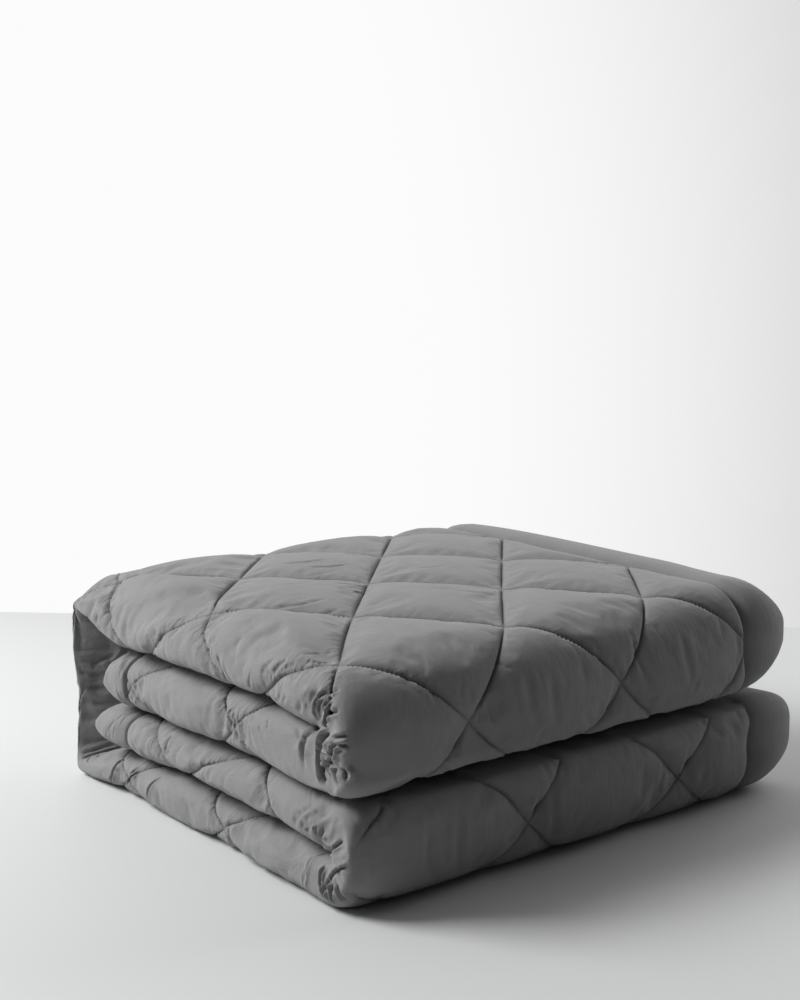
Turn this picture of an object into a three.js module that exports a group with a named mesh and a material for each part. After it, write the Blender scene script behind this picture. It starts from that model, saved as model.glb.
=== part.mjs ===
// A quilted comforter folded for storage: in thirds across its width, then both ends to the
// middle, then in half. One filled solid. Millimetres, +Z up, resting on z = 0.
// +X runs along the folds, the two front rolls face -Y, the rounded layer edges face -X.
import * as THREE from "three";

// Quilting: stitched diamonds, measured across their corners, on a grid of rows and columns.
const DIAMOND_ACROSS = 212.5;
const DIAMOND_ALONG = 228;
const STEPS = 8;
const STEP_ACROSS = DIAMOND_ACROSS / STEPS;
const STEP_ALONG = DIAMOND_ALONG / STEPS;
const CROSSING_COLUMN = 6;
const BORDER_COLUMN = 22;
const PUFF = 14;
const PUFF_POWER = 0.55;
const SEAM_SINK = 0.7;
const PRESSED_PUFF = 0.2;
const EDGE_PUFF = 0.6;
const BORDER_PUFF = 0.8;

// Folded strip, three thicknesses of comforter. share runs from 1 on its outer face to -1 on
// its inner face. The near edge is one round fold, x from its outermost point.
const NEAR_EDGE = [
  { column: 0, x: 0, share: 0 },
  { column: 1, x: 9, share: 0.74 },
  { column: 2, x: 36, share: 1 },
];
const EDGE_STEPS = NEAR_EDGE.length - 1;

// The far side is the free hem of the outer third over the inner fold, x from the border seam.
const FAR_SIDE = [
  { name: "border", x: 32, share: 0.97 },
  { name: "border crown", x: 62, share: 0.83 },
  { name: "hem", x: 88, share: 0.52 },
  { name: "under the hem", x: 77, share: 0.38 },
  { name: "notch", x: 56, share: 0.27 },
  { name: "fold top", x: 74, share: 0.1 },
  { name: "inner fold", x: 84, share: -0.36 },
  { name: "fold underside", x: 68, share: -0.84 },
  { name: "inner face", x: 34, share: -1.0 },
];
const HEM_SHARE = 0.6;

// Back-and-forth section, seen from +X: strips 2 and 1 make the upper roll, strip 1 turns down
// the back into strip 4, and strips 4 and 3 make the lower roll.
const UPPER_ROLL = { front: -30, bottom: 101, top: 225, lowRadius: 28, topRadius: 64, wall: 58 };
const LOWER_ROLL = { front: -38, bottom: -2, top: 98.5, lowRadius: 46, topRadius: 28, wall: 48 };
const BACK = { y: 567, topRadius: 62, bottomRadius: 54, wall: 46, innerRadius: 22 };
const LAYER_GAP = 3;
const STRIP_2_START = 520;
const STRIP_3_END = 560;
const HEM_THICK = 9;
const HEM_TAPER = 75;

// Rows of the grid: where the quilting crosses on each roll's front, and the last row.
const ROWS_TO_UPPER = 19;
const ROWS_TO_BACK = 40;
const ROWS_TO_LOWER = 71;
const ROWS = 91;
const LOWER_SHIFT = -35;
const SHIFT_FADE = 6;

// How free the outer face is to puff, and how thin the near edge is pinched, along the path.
const ALONG = [
  { name: "strip 2 lies pressed", from: "upper roll", at: -78, free: 0, pinch: 0 },
  { name: "upper roll lower front", from: "upper roll", at: -54, free: 0.5, pinch: 0 },
  { name: "upper roll front", from: "upper roll", at: 0, free: 1, pinch: 0 },
  { name: "strip 1 thins", from: "back", at: -230, free: 1, pinch: 0 },
  { name: "top corner", from: "back", at: -90, free: 0.8, pinch: 0.68 },
  { name: "back", from: "back", at: 0, free: 0.8, pinch: 0.62 },
  { name: "bottom corner", from: "back", at: 90, free: 0.4, pinch: 0.55 },
  { name: "strip 4 lies pressed", from: "back", at: 220, free: 0, pinch: 0 },
  { name: "lower roll starts", from: "lower roll", at: -74, free: 0, pinch: 0 },
  { name: "lower roll lower front", from: "lower roll", at: -44, free: 0.7, pinch: 0 },
  { name: "lower roll front", from: "lower roll", at: 10, free: 1, pinch: 0 },
  { name: "lower roll upper front", from: "lower roll", at: 46, free: 0.5, pinch: 0 },
  { name: "strip 3 lies pressed", from: "lower roll", at: 72, free: 0, pinch: 0 },
];
const PINCH_COLUMNS = 7;

// The pack is not level: it climbs towards the back and towards +X.
const BACK_CLIMB = 0.135;
const BACK_CLIMB_AT = 500;
const FAR_CLIMB = 0.085;
const FAR_CLIMB_AT = 620;
const EDGE_DROP_WIDTH = 60;

const { clamp, lerp, mapLinear, smoothstep, euclideanModulo } = THREE.MathUtils;
const smooth = (value) => smoothstep(value, 0, 1);

// One face of the folded strip as a path of lines and quarter turns in the YZ plane.
class FoldPath extends THREE.CurvePath {
  constructor(y, z) {
    super();
    this.here = new THREE.Vector2(y, z);
  }

  line(y, z) {
    const next = new THREE.Vector2(y, z);
    this.add(new THREE.LineCurve(this.here, next));
    this.here = next;
  }

  turn(y, z, radiusY, radiusZ, startQuarter) {
    const start = (startQuarter * Math.PI) / 2;
    this.add(new THREE.EllipseCurve(y, z, radiusY, radiusZ, start, start - Math.PI / 2, true));
    this.here = this.curves.at(-1).getPoint(1);
  }
}

const middleOf = ({ bottom, top }) => (bottom + top) / 2;

function outerFace() {
  const face = new FoldPath(STRIP_2_START, UPPER_ROLL.bottom);
  const roll = ({ front, bottom, top, lowRadius, topRadius }) => {
    face.line(front + lowRadius, bottom);
    face.turn(front + lowRadius, bottom + lowRadius, lowRadius, lowRadius, 3);
    face.line(front, top - topRadius);
    face.turn(front + topRadius, top - topRadius, topRadius, topRadius, 2);
  };
  const { y, topRadius, bottomRadius } = BACK;
  roll(UPPER_ROLL);
  face.line(y - topRadius, UPPER_ROLL.top);
  face.turn(y - topRadius, UPPER_ROLL.top - topRadius, topRadius, topRadius, 1);
  face.line(y, LOWER_ROLL.bottom + bottomRadius);
  face.turn(y - bottomRadius, LOWER_ROLL.bottom + bottomRadius, bottomRadius, bottomRadius, 0);
  roll(LOWER_ROLL);
  face.line(STRIP_3_END, LOWER_ROLL.top);
  return face;
}

// The inner face has the same pieces in the same order as the outer one.
function innerFace() {
  const half = LAYER_GAP / 2;
  const face = new FoldPath(STRIP_2_START, middleOf(UPPER_ROLL) - half);
  const roll = (sizes) => {
    const bend = sizes.front + sizes.wall + half;
    const middle = middleOf(sizes);
    face.line(bend, middle - half);
    face.turn(bend, middle, half, half, 3);
    face.line(bend - half, middle);
    face.turn(bend, middle, half, half, 2);
  };
  const { y, topRadius, bottomRadius, wall, innerRadius } = BACK;
  const ceiling = middleOf(UPPER_ROLL) + half;
  const floor = middleOf(LOWER_ROLL) - half;
  roll(UPPER_ROLL);
  face.line(y - topRadius, ceiling);
  face.turn(y - topRadius, ceiling - innerRadius, topRadius - wall, innerRadius, 1);
  face.line(y - wall, floor + innerRadius);
  face.turn(y - bottomRadius, floor + innerRadius, bottomRadius - wall, innerRadius, 0);
  roll(LOWER_ROLL);
  face.line(STRIP_3_END, middleOf(LOWER_ROLL) + half);
  return face;
}

const outer = outerFace();
const inner = innerFace();
const reached = outer.getCurveLengths();
const landmarks = {
  "upper roll": reached[2],
  back: (reached[5] + reached[6]) / 2,
  "lower roll": reached[9],
};
const stations = ALONG.map((row) => ({ ...row, s: landmarks[row.from] + row.at }));

// Distance along the outer face of one row: even steps, eased where the strip lies underneath.
function distanceOf(row) {
  const upper = landmarks["upper roll"];
  const lower = landmarks["lower roll"];
  const back = upper + (ROWS_TO_BACK - ROWS_TO_UPPER) * STEP_ALONG;
  if (row <= ROWS_TO_BACK) return upper + (row - ROWS_TO_UPPER) * STEP_ALONG;
  if (row >= ROWS_TO_LOWER) return lower + (row - ROWS_TO_LOWER) * STEP_ALONG;
  return mapLinear(row, ROWS_TO_BACK, ROWS_TO_LOWER, back, lower);
}

// The outer and inner points that belong together at one distance.
function facesAt(s) {
  const piece = reached.findIndex((length) => length >= s);
  const start = piece === 0 ? 0 : reached[piece - 1];
  const part = (s - start) / (reached[piece] - start);
  return { out: outer.curves[piece].getPoint(part), into: inner.curves[piece].getPoint(part) };
}

function alongAt(s) {
  const next = stations.findIndex((station) => station.s > s);
  if (next === 0) return stations[0];
  if (next < 0) return stations.at(-1);
  const before = stations[next - 1];
  const after = stations[next];
  const part = smooth((s - before.s) / (after.s - before.s));
  return { free: lerp(before.free, after.free, part), pinch: lerp(before.pinch, after.pinch, part) };
}

// Outline of the strip, once round: outer face, far side, inner face, near edge.
function stripOutline() {
  const outline = [];
  const flatX = (column) => NEAR_EDGE[EDGE_STEPS].x + (column - EDGE_STEPS) * STEP_ACROSS;
  for (let column = EDGE_STEPS; column <= BORDER_COLUMN; column += 1) {
    outline.push({ column, x: flatX(column), share: 1, border: false });
  }
  for (const { x, share } of FAR_SIDE) {
    outline.push({ column: BORDER_COLUMN, x: flatX(BORDER_COLUMN) + x, share, border: true });
  }
  for (let column = BORDER_COLUMN; column >= EDGE_STEPS; column -= 1) {
    outline.push({ column: -column, x: flatX(column), share: -1, border: false });
  }
  for (let column = 1 - EDGE_STEPS; column < EDGE_STEPS; column += 1) {
    const { x, share } = NEAR_EDGE[Math.abs(column)];
    outline.push({ column, x, share: Math.sign(column) * share, border: false });
  }
  return outline;
}

// Height of the filling between the seams, from 0 on a seam to 1 in the middle of a diamond.
function seamPuff(column, row) {
  const a = (column - CROSSING_COLUMN + row - ROWS_TO_UPPER) / STEPS;
  const b = (column - CROSSING_COLUMN - row + ROWS_TO_UPPER) / STEPS;
  return Math.abs(Math.sin(Math.PI * a) * Math.sin(Math.PI * b)) ** PUFF_POWER;
}

// How far a point of the skin stands out from (or sinks below) the plain folded strip.
function relief({ column, share, border }, row, free) {
  if (border && share < HEM_SHARE) return 0;
  const isOuter = column > 0;
  const onEdge = smooth(1 - (Math.abs(column) - 1) / EDGE_STEPS);
  const open = Math.max(EDGE_PUFF * onEdge, isOuter ? free : 0);
  const onBorderSeam = column === BORDER_COLUMN;
  const quilted = onBorderSeam ? 0 : seamPuff(column, row);
  const puff = border ? BORDER_PUFF : quilted;
  const height = PUFF * (open * (puff - SEAM_SINK) + (1 - open) * PRESSED_PUFF * (puff - 1));
  const liesOnLayer = Math.abs(column) >= EDGE_STEPS && !(isOuter && free > 0);
  return liesOnLayer ? Math.min(0, height) : height;
}

function climb(x, y, z) {
  const inward = smooth(x / EDGE_DROP_WIDTH);
  const back = smooth(y / BACK_CLIMB_AT) * BACK_CLIMB * inward;
  const far = clamp(x / FAR_CLIMB_AT, 0, 1) * FAR_CLIMB;
  const upper = smooth((z - UPPER_ROLL.bottom) / (UPPER_ROLL.top - UPPER_ROLL.bottom));
  return z * (1 + far) + Math.max(0, z) * back * upper;
}

function rowPoints(outline, row) {
  const s = distanceOf(row);
  const { out, into } = facesAt(s);
  const { free, pinch } = alongAt(s);
  const across = into.clone().sub(out);
  const fromEnd = clamp(Math.min(s - distanceOf(0), distanceOf(ROWS) - s) / HEM_TAPER, 0, 1);
  const taper = lerp(HEM_THICK / across.length(), 1, Math.sqrt(1 - (1 - fromEnd) ** 2));
  const lower = smooth((s - landmarks.back) / (2 * DIAMOND_ALONG) + 0.5);
  return outline.map((point) => {
    const column = Math.abs(point.column);
    const room = Math.min(column - EDGE_STEPS, BORDER_COLUMN - column);
    const x = point.x + LOWER_SHIFT * lower * clamp(room / SHIFT_FADE, 0, 1);
    const near = smooth(1 - column / PINCH_COLUMNS);
    const depth = ((1 - point.share * taper) / 2) * (1 - pinch * near);
    const y = out.x + across.x * depth;
    const z = out.y + across.y * depth;
    return { x, y, z: climb(x, y, z), relief: relief(point, row, free) };
  });
}

// Faces that close one end of the strip: rungs between its two faces, and both rounded sides.
function endFaces(outline) {
  const faces = [];
  const at = (column) => outline.findIndex((point) => point.column === column && !point.border);
  for (let column = EDGE_STEPS; column < BORDER_COLUMN; column += 1) {
    const [a, b, c, d] = [at(column), at(column + 1), at(-column), at(-column - 1)];
    faces.push([a, b, c], [b, d, c]);
  }
  for (const isFar of [true, false]) {
    const first = isFar ? at(BORDER_COLUMN) : at(-EDGE_STEPS);
    const count = isFar ? FAR_SIDE.length + 2 : 2 * EDGE_STEPS + 1;
    const ring = Array.from({ length: count }, (_, i) => (first + i) % outline.length);
    const flat = ring.map((i) => new THREE.Vector2(outline[i].x, outline[i].share * HEM_THICK));
    for (const [i, j, k] of THREE.ShapeUtils.triangulateShape(flat, [])) {
      faces.push([ring[i], ring[k], ring[j]]);
    }
  }
  return faces;
}

// Two triangles for each cell of the grid, split along the seam where one crosses the cell.
function stripFaces(outline) {
  const faces = [];
  const around = outline.length;
  for (let row = 0; row < ROWS; row += 1) {
    for (let k = 0; k < around; k += 1) {
      const next = (k + 1) % around;
      const [a, b] = [row * around + k, row * around + next];
      const [c, d] = [a + around, b + around];
      const sum = outline[next].column - CROSSING_COLUMN + row - ROWS_TO_UPPER;
      const isSeam = euclideanModulo(sum, STEPS) === 0;
      faces.push(...(isSeam ? [a, b, c, b, d, c] : [a, d, c, a, b, d]));
    }
  }
  const end = ROWS * around;
  for (const [i, j, k] of endFaces(outline)) {
    faces.push(i, k, j, end + i, end + j, end + k);
  }
  return faces;
}

function comforterSolid() {
  const outline = stripOutline();
  const points = [];
  for (let row = 0; row <= ROWS; row += 1) {
    points.push(...rowPoints(outline, row));
  }
  const geometry = new THREE.BufferGeometry();
  const flat = points.flatMap(({ x, y, z }) => [x, y, z]);
  geometry.setAttribute("position", new THREE.Float32BufferAttribute(flat, 3));
  geometry.setIndex(stripFaces(outline));
  geometry.computeVertexNormals();
  const position = geometry.getAttribute("position");
  const normal = geometry.getAttribute("normal");
  const point = new THREE.Vector3();
  const outward = new THREE.Vector3();
  points.forEach((source, i) => {
    point.fromBufferAttribute(position, i);
    outward.fromBufferAttribute(normal, i);
    point.addScaledVector(outward, source.relief);
    position.setXYZ(i, point.x, point.y, Math.max(0, point.z));
  });
  geometry.computeBoundingBox();
  const { min, max } = geometry.boundingBox;
  geometry.translate(-(min.x + max.x) / 2, -(min.y + max.y) / 2, -min.z);
  geometry.computeVertexNormals();
  return geometry;
}

const fabric = new THREE.MeshStandardMaterial({ name: "grey_fabric", color: 0x4a4b4d, roughness: 0.9 });
const comforter = new THREE.Mesh(comforterSolid(), fabric);
comforter.name = "comforter";
const group = new THREE.Group();
group.name = "folded_comforter";
group.add(comforter);
export default group;
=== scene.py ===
import logging
import math
from dataclasses import dataclass, field
from enum import Enum

import bmesh
import bpy
import numpy as np
from mathutils import Matrix, Vector


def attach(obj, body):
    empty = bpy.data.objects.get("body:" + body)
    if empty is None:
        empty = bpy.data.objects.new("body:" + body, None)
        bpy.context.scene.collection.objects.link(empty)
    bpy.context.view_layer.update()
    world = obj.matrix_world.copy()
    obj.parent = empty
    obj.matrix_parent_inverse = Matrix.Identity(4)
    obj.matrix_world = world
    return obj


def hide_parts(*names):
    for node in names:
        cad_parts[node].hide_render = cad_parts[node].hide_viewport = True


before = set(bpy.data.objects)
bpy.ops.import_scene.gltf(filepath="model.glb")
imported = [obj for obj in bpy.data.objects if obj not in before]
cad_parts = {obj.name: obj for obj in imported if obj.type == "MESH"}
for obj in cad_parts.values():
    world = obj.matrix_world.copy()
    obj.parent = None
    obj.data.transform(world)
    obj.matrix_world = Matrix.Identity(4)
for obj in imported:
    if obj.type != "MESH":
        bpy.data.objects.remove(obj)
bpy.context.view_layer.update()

logging.basicConfig(level=logging.INFO, format="%(message)s")
log = logging.getLogger("comforter")

Array = np.ndarray
Mesh = bpy.types.Mesh
Node = bpy.types.Node
Object = bpy.types.Object
Socket = bpy.types.NodeSocket
Tree = bpy.types.NodeTree
Pair = tuple[float, float]
Triple = tuple[float, float, float]
CreaseRow = tuple[float, float, float, float, float, float]
# painted shade: folds, tucks, seams and the border groove darken the cloth's colour through the fold values
FOLD_FOR_FULL_SHADE = 0.006  # depth of a fold at which the cloth is darkest


def smooth(value: Array) -> Array:
    """Ease from 0 to 1 as the value goes from 0 to 1."""
    t = np.clip(value, 0.0, 1.0)
    return t * t * (3.0 - 2.0 * t)


def bell(value: Array, width: float) -> Array:
    """Bell curve of height 1 around 0."""
    return np.exp(-((value / width) ** 2))


def wobble(points: Array, wavelength: float, seed: int) -> Array:
    """Smooth uneven field between about -1 and 1.

    Args:
        points: places, one row each.
        wavelength: usual distance between two crests.
        seed: choice of field.

    Returns:
        One value for each place.
    """
    source = np.random.default_rng(seed)
    waves = 9
    aims = source.normal(size=(waves, points.shape[1]))
    aims /= np.linalg.norm(aims, axis=1)[:, None]
    pitch = 2.0 * np.pi / (wavelength * source.uniform(0.7, 1.5, waves))
    phase = source.uniform(0.0, 2.0 * np.pi, waves)
    return np.sin(points @ aims.T * pitch + phase).sum(axis=1) / math.sqrt(waves / 1.5)


def get_points(mesh: Mesh) -> Array:
    """Vertex places of a mesh."""
    flat = np.zeros(len(mesh.vertices) * 3)
    mesh.vertices.foreach_get("co", flat)
    return flat.reshape(-1, 3)


def get_values(mesh: Mesh, name: str) -> Array:
    """Vertex values of a named attribute."""
    values = np.zeros(len(mesh.vertices))
    mesh.attributes[name].data.foreach_get("value", values)
    return values


def add_values(mesh: Mesh, name: str, values: Array) -> None:
    """Add to the vertex values of a named attribute, which is made when missing.

    Args:
        mesh: the mesh.
        name: the attribute's name.
        values: what is added at each vertex.
    """
    if name in mesh.attributes:
        values = values + get_values(mesh, name)
    else:
        mesh.attributes.new(name, "FLOAT", "POINT")
    mesh.attributes[name].data.foreach_set("value", np.clip(values, 0.0, 1.0))


def set_points(mesh: Mesh, points: Array) -> None:
    """Write vertex places, none of them below the floor."""
    points[:, 2] = np.maximum(points[:, 2], 0.0)
    mesh.vertices.foreach_set("co", points.ravel())
    mesh.update()


def vertex_normals(mesh: Mesh) -> Array:
    """Vertex normals of a mesh."""
    flat = np.zeros(len(mesh.vertices) * 3)
    mesh.vertex_normals.foreach_get("vector", flat)
    return flat.reshape(-1, 3)


@dataclass(frozen=True)
class Span:
    """Stretch of rows over which a height is reached, with a fade at either end."""

    height: float
    first: float = -math.inf
    fade_in: float = 1.0
    last: float = math.inf
    fade_out: float = 1.0

    def at(self, row: Array) -> Array:
        """Heights at rows."""
        rising = smooth((row - self.first) / self.fade_in)
        return self.height * rising * smooth((self.last - row) / self.fade_out)


@dataclass(frozen=True)
class Roll:
    """One front roll of the folded strip, in the YZ plane."""

    front: float
    bottom: float
    top: float
    low_radius: float
    top_radius: float
    wall: float

    @property
    def middle(self) -> float:
        """Height of the fold inside the roll."""
        return (self.bottom + self.top) / 2.0


@dataclass(frozen=True)
class Run:
    """Straight stretch of a face."""

    start: Pair
    end: Pair

    @property
    def length(self) -> float:
        """Length of the stretch."""
        return math.dist(self.start, self.end)

    def at(self, part: Array) -> tuple[Array, Array]:
        """Points at shares of the stretch.

        Args:
            part: shares from 0 to 1.

        Returns:
            Their y and z.
        """
        y = self.start[0] + (self.end[0] - self.start[0]) * part
        z = self.start[1] + (self.end[1] - self.start[1]) * part
        return y, z


@dataclass(frozen=True)
class Turn:
    """Clockwise quarter turn of a face."""

    centre: Pair
    radius_y: float
    radius_z: float
    start_quarter: int
    squaring: float = 0.65

    @property
    def length(self) -> float:
        """Length of a round turn."""
        return math.pi / 2.0 * self.radius_y

    @property
    def end(self) -> Pair:
        """Last point of the turn."""
        y, z = self.at(np.array([1.0]))
        return float(y[0]), float(z[0])

    def at(self, part: Array, square: Array | float = 0.0) -> tuple[Array, Array]:
        """Points at shares of the turn.

        Args:
            part: shares from 0 to 1.
            square: how far the turn is drawn out towards a corner, from 0 to 1.

        Returns:
            Their y and z.
        """
        angle = (self.start_quarter - part) * (math.pi / 2.0)
        power = 1.0 - self.squaring * square
        across, up = np.cos(angle), np.sin(angle)
        y = self.centre[0] + self.radius_y * np.sign(across) * np.abs(across) ** power
        z = self.centre[1] + self.radius_z * np.sign(up) * np.abs(up) ** power
        return y, z


@dataclass
class FacePath:
    """Face of the section, laid piece by piece from its first point."""

    here: Pair
    pieces: list[Run | Turn] = field(default_factory=list)

    def run(self, y: float, z: float) -> None:
        """Add a straight stretch to a point."""
        self.pieces.append(Run(self.here, (y, z)))
        self.here = (y, z)

    def turn(self, y: float, z: float, radius_y: float, radius_z: float, quarter: int) -> None:
        """Add a quarter turn round a centre."""
        self.pieces.append(Turn((y, z), radius_y, radius_z, quarter))
        self.here = self.pieces[-1].end


@dataclass
class FoldSection:
    """Back-and-forth section of the strip: its outer and inner face, piece by piece."""

    upper: Roll = Roll(-0.030, 0.101, 0.225, 0.028, 0.064, 0.058)
    lower: Roll = Roll(-0.038, -0.002, 0.0985, 0.046, 0.028, 0.048)
    back_y: float = 0.567
    back_top_radius: float = 0.062
    back_bottom_radius: float = 0.054
    back_wall: float = 0.046
    back_inner_radius: float = 0.022
    layer_gap: float = 0.003
    bend_flat: float = 0.4
    strip_2_start: float = 0.520
    strip_3_end: float = 0.560
    back_turns: tuple[int, int] = (5, 7)

    def __post_init__(self) -> None:
        """Lay out both faces and the distances reached at the end of each piece."""
        self.outer = self._outer()
        self.inner = self._inner()
        self.reached = np.cumsum([piece.length for piece in self.outer])
        self.at_upper = float(self.reached[2])
        self.at_back = float((self.reached[5] + self.reached[6]) / 2.0)
        self.at_lower = float(self.reached[9])

    def _outer(self) -> list[Run | Turn]:
        """Pieces of the outer face.

        Returns:
            The pieces in order.
        """
        path = FacePath((self.strip_2_start, self.upper.bottom))

        def roll(r: Roll) -> None:
            """Add the pieces round one front roll.

            Args:
                r: the roll.
            """
            low_y, low_z = r.front + r.low_radius, r.bottom + r.low_radius
            path.run(low_y, r.bottom)
            path.turn(low_y, low_z, r.low_radius, r.low_radius, 3)
            path.run(r.front, r.top - r.top_radius)
            path.turn(r.front + r.top_radius, r.top - r.top_radius, r.top_radius, r.top_radius, 2)

        top, low = self.back_top_radius, self.back_bottom_radius
        low_z = self.lower.bottom + low
        roll(self.upper)
        path.run(self.back_y - top, self.upper.top)
        path.turn(self.back_y - top, self.upper.top - top, top, top, 1)
        path.run(self.back_y, low_z)
        path.turn(self.back_y - low, low_z, low, low, 0)
        roll(self.lower)
        path.run(self.strip_3_end, self.lower.top)
        return path.pieces

    def _inner(self) -> list[Run | Turn]:
        """Pieces of the inner face, in step with the outer ones.

        Returns:
            The pieces in order.
        """
        half = self.layer_gap / 2.0
        path = FacePath((self.strip_2_start, self.upper.middle - half))

        def roll(r: Roll) -> None:
            """Add the pieces of the tight bend inside one front roll.

            Args:
                r: the roll.
            """
            bend = r.front + r.wall + half
            flat = half * self.bend_flat
            path.run(bend, r.middle - half)
            path.turn(bend, r.middle - flat, half, half - flat, 3)
            path.run(bend - half, r.middle + flat)
            path.turn(bend, r.middle + flat, half, half - flat, 2)

        ceiling = self.upper.middle + half
        floor = self.lower.middle - half
        top, low, wall = self.back_top_radius, self.back_bottom_radius, self.back_wall
        radius = self.back_inner_radius
        roll(self.upper)
        path.run(self.back_y - top, ceiling)
        path.turn(self.back_y - top, ceiling - radius, top - wall, radius, 1)
        path.run(self.back_y - wall, floor + radius)
        path.turn(self.back_y - low, floor + radius, low - wall, radius, 0)
        roll(self.lower)
        path.run(self.strip_3_end, self.lower.middle + half)
        return path.pieces

    def faces_at(self, s: Array, square: Array) -> tuple[Array, Array, Array, Array]:
        """Outer and inner points that belong together.

        Args:
            s: distances along the outer face.
            square: how square the two bends at the back are, from 0 to 1.

        Returns:
            Outer y and z, inner y and z.
        """
        index = np.clip(np.searchsorted(self.reached, s), 0, len(self.outer) - 1)
        starts = np.concatenate([[0.0], self.reached[:-1]])
        out = np.zeros((4, len(s)))
        for i, (outside, inside) in enumerate(zip(self.outer, self.inner)):
            here = index == i
            part = (s[here] - starts[i]) / outside.length
            if i in self.back_turns:
                out[0, here], out[1, here] = outside.at(part, square[here])
            else:
                out[0, here], out[1, here] = outside.at(part)
            out[2, here], out[3, here] = inside.at(part)
        return out[0], out[1], out[2], out[3]


@dataclass
class Quilting:
    """Diamond quilting on a grid of columns (across) and rows (along the strip)."""

    diamond_across: float = 0.2125
    diamond_along: float = 0.228
    steps: int = 8
    crossing_column: float = 6.0
    crossing_row: float = 19.0
    border_column: float = 22.0
    border_rows: Pair = (2.625, 87.5)
    puff_power: float = 0.32

    @property
    def step_across(self) -> float:
        """Width of one column."""
        return self.diamond_across / self.steps

    @property
    def step_along(self) -> float:
        """Length of one row."""
        return self.diamond_along / self.steps

    def diagonals(self, column: Array, row: Array) -> tuple[Array, Array]:
        """Places across the two seam families, whole numbers on a seam.

        Args:
            column: columns of the points.
            row: rows of the points.

        Returns:
            Place across the first and the second family.
        """
        a = (column - self.crossing_column + row - self.crossing_row) / self.steps
        b = (column - self.crossing_column - row + self.crossing_row) / self.steps
        return a, b

    def puff(self, column: Array, row: Array) -> Array:
        """Height of the filling, 0 on a seam and 1 in the middle of a diamond.

        Args:
            column: columns of the points.
            row: rows of the points.

        Returns:
            One height for each point.
        """
        a, b = self.diagonals(column, row)
        inside = np.abs(np.sin(np.pi * a) * np.sin(np.pi * b)) ** self.puff_power
        first, last = self.border_rows
        to_border = np.minimum(np.abs(row - first), np.abs(row - last))
        channel = np.clip(to_border, 0.0, 1.0) ** self.puff_power
        return np.where((row < first) | (row > last), channel, np.minimum(inside, channel))

    def on_seam(self, column: Array, row: Array) -> Array:
        """Whether points lie on a seam.

        Args:
            column: columns of the points.
            row: rows of the points.

        Returns:
            One truth value for each point.
        """
        a, b = self.diagonals(column, row)
        first, last = self.border_rows
        near = 1e-6
        diamond = (np.abs(a - np.round(a)) < near) | (np.abs(b - np.round(b)) < near)
        diamond &= (row > first) & (row < last)
        border = (np.abs(row - first) < near) | (np.abs(row - last) < near)
        return diamond | border | (np.abs(column - self.border_column) < near)

    def to_seam(self, column: Array, row: Array) -> Array:
        """Distance of points from the nearest diamond seam.

        Args:
            column: columns of the points.
            row: rows of the points.

        Returns:
            One distance for each point.
        """
        a, b = self.diagonals(column, row)
        across = 1.0 / math.hypot(1.0 / self.diamond_across, 1.0 / self.diamond_along)
        nearest = np.minimum(np.abs(a - np.round(a)), np.abs(b - np.round(b)))
        return nearest * across


class Side(Enum):
    """Stretch of the strip's outline."""

    OUTER = 0
    FAR = 1
    INNER = 2
    NEAR = 3


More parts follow.
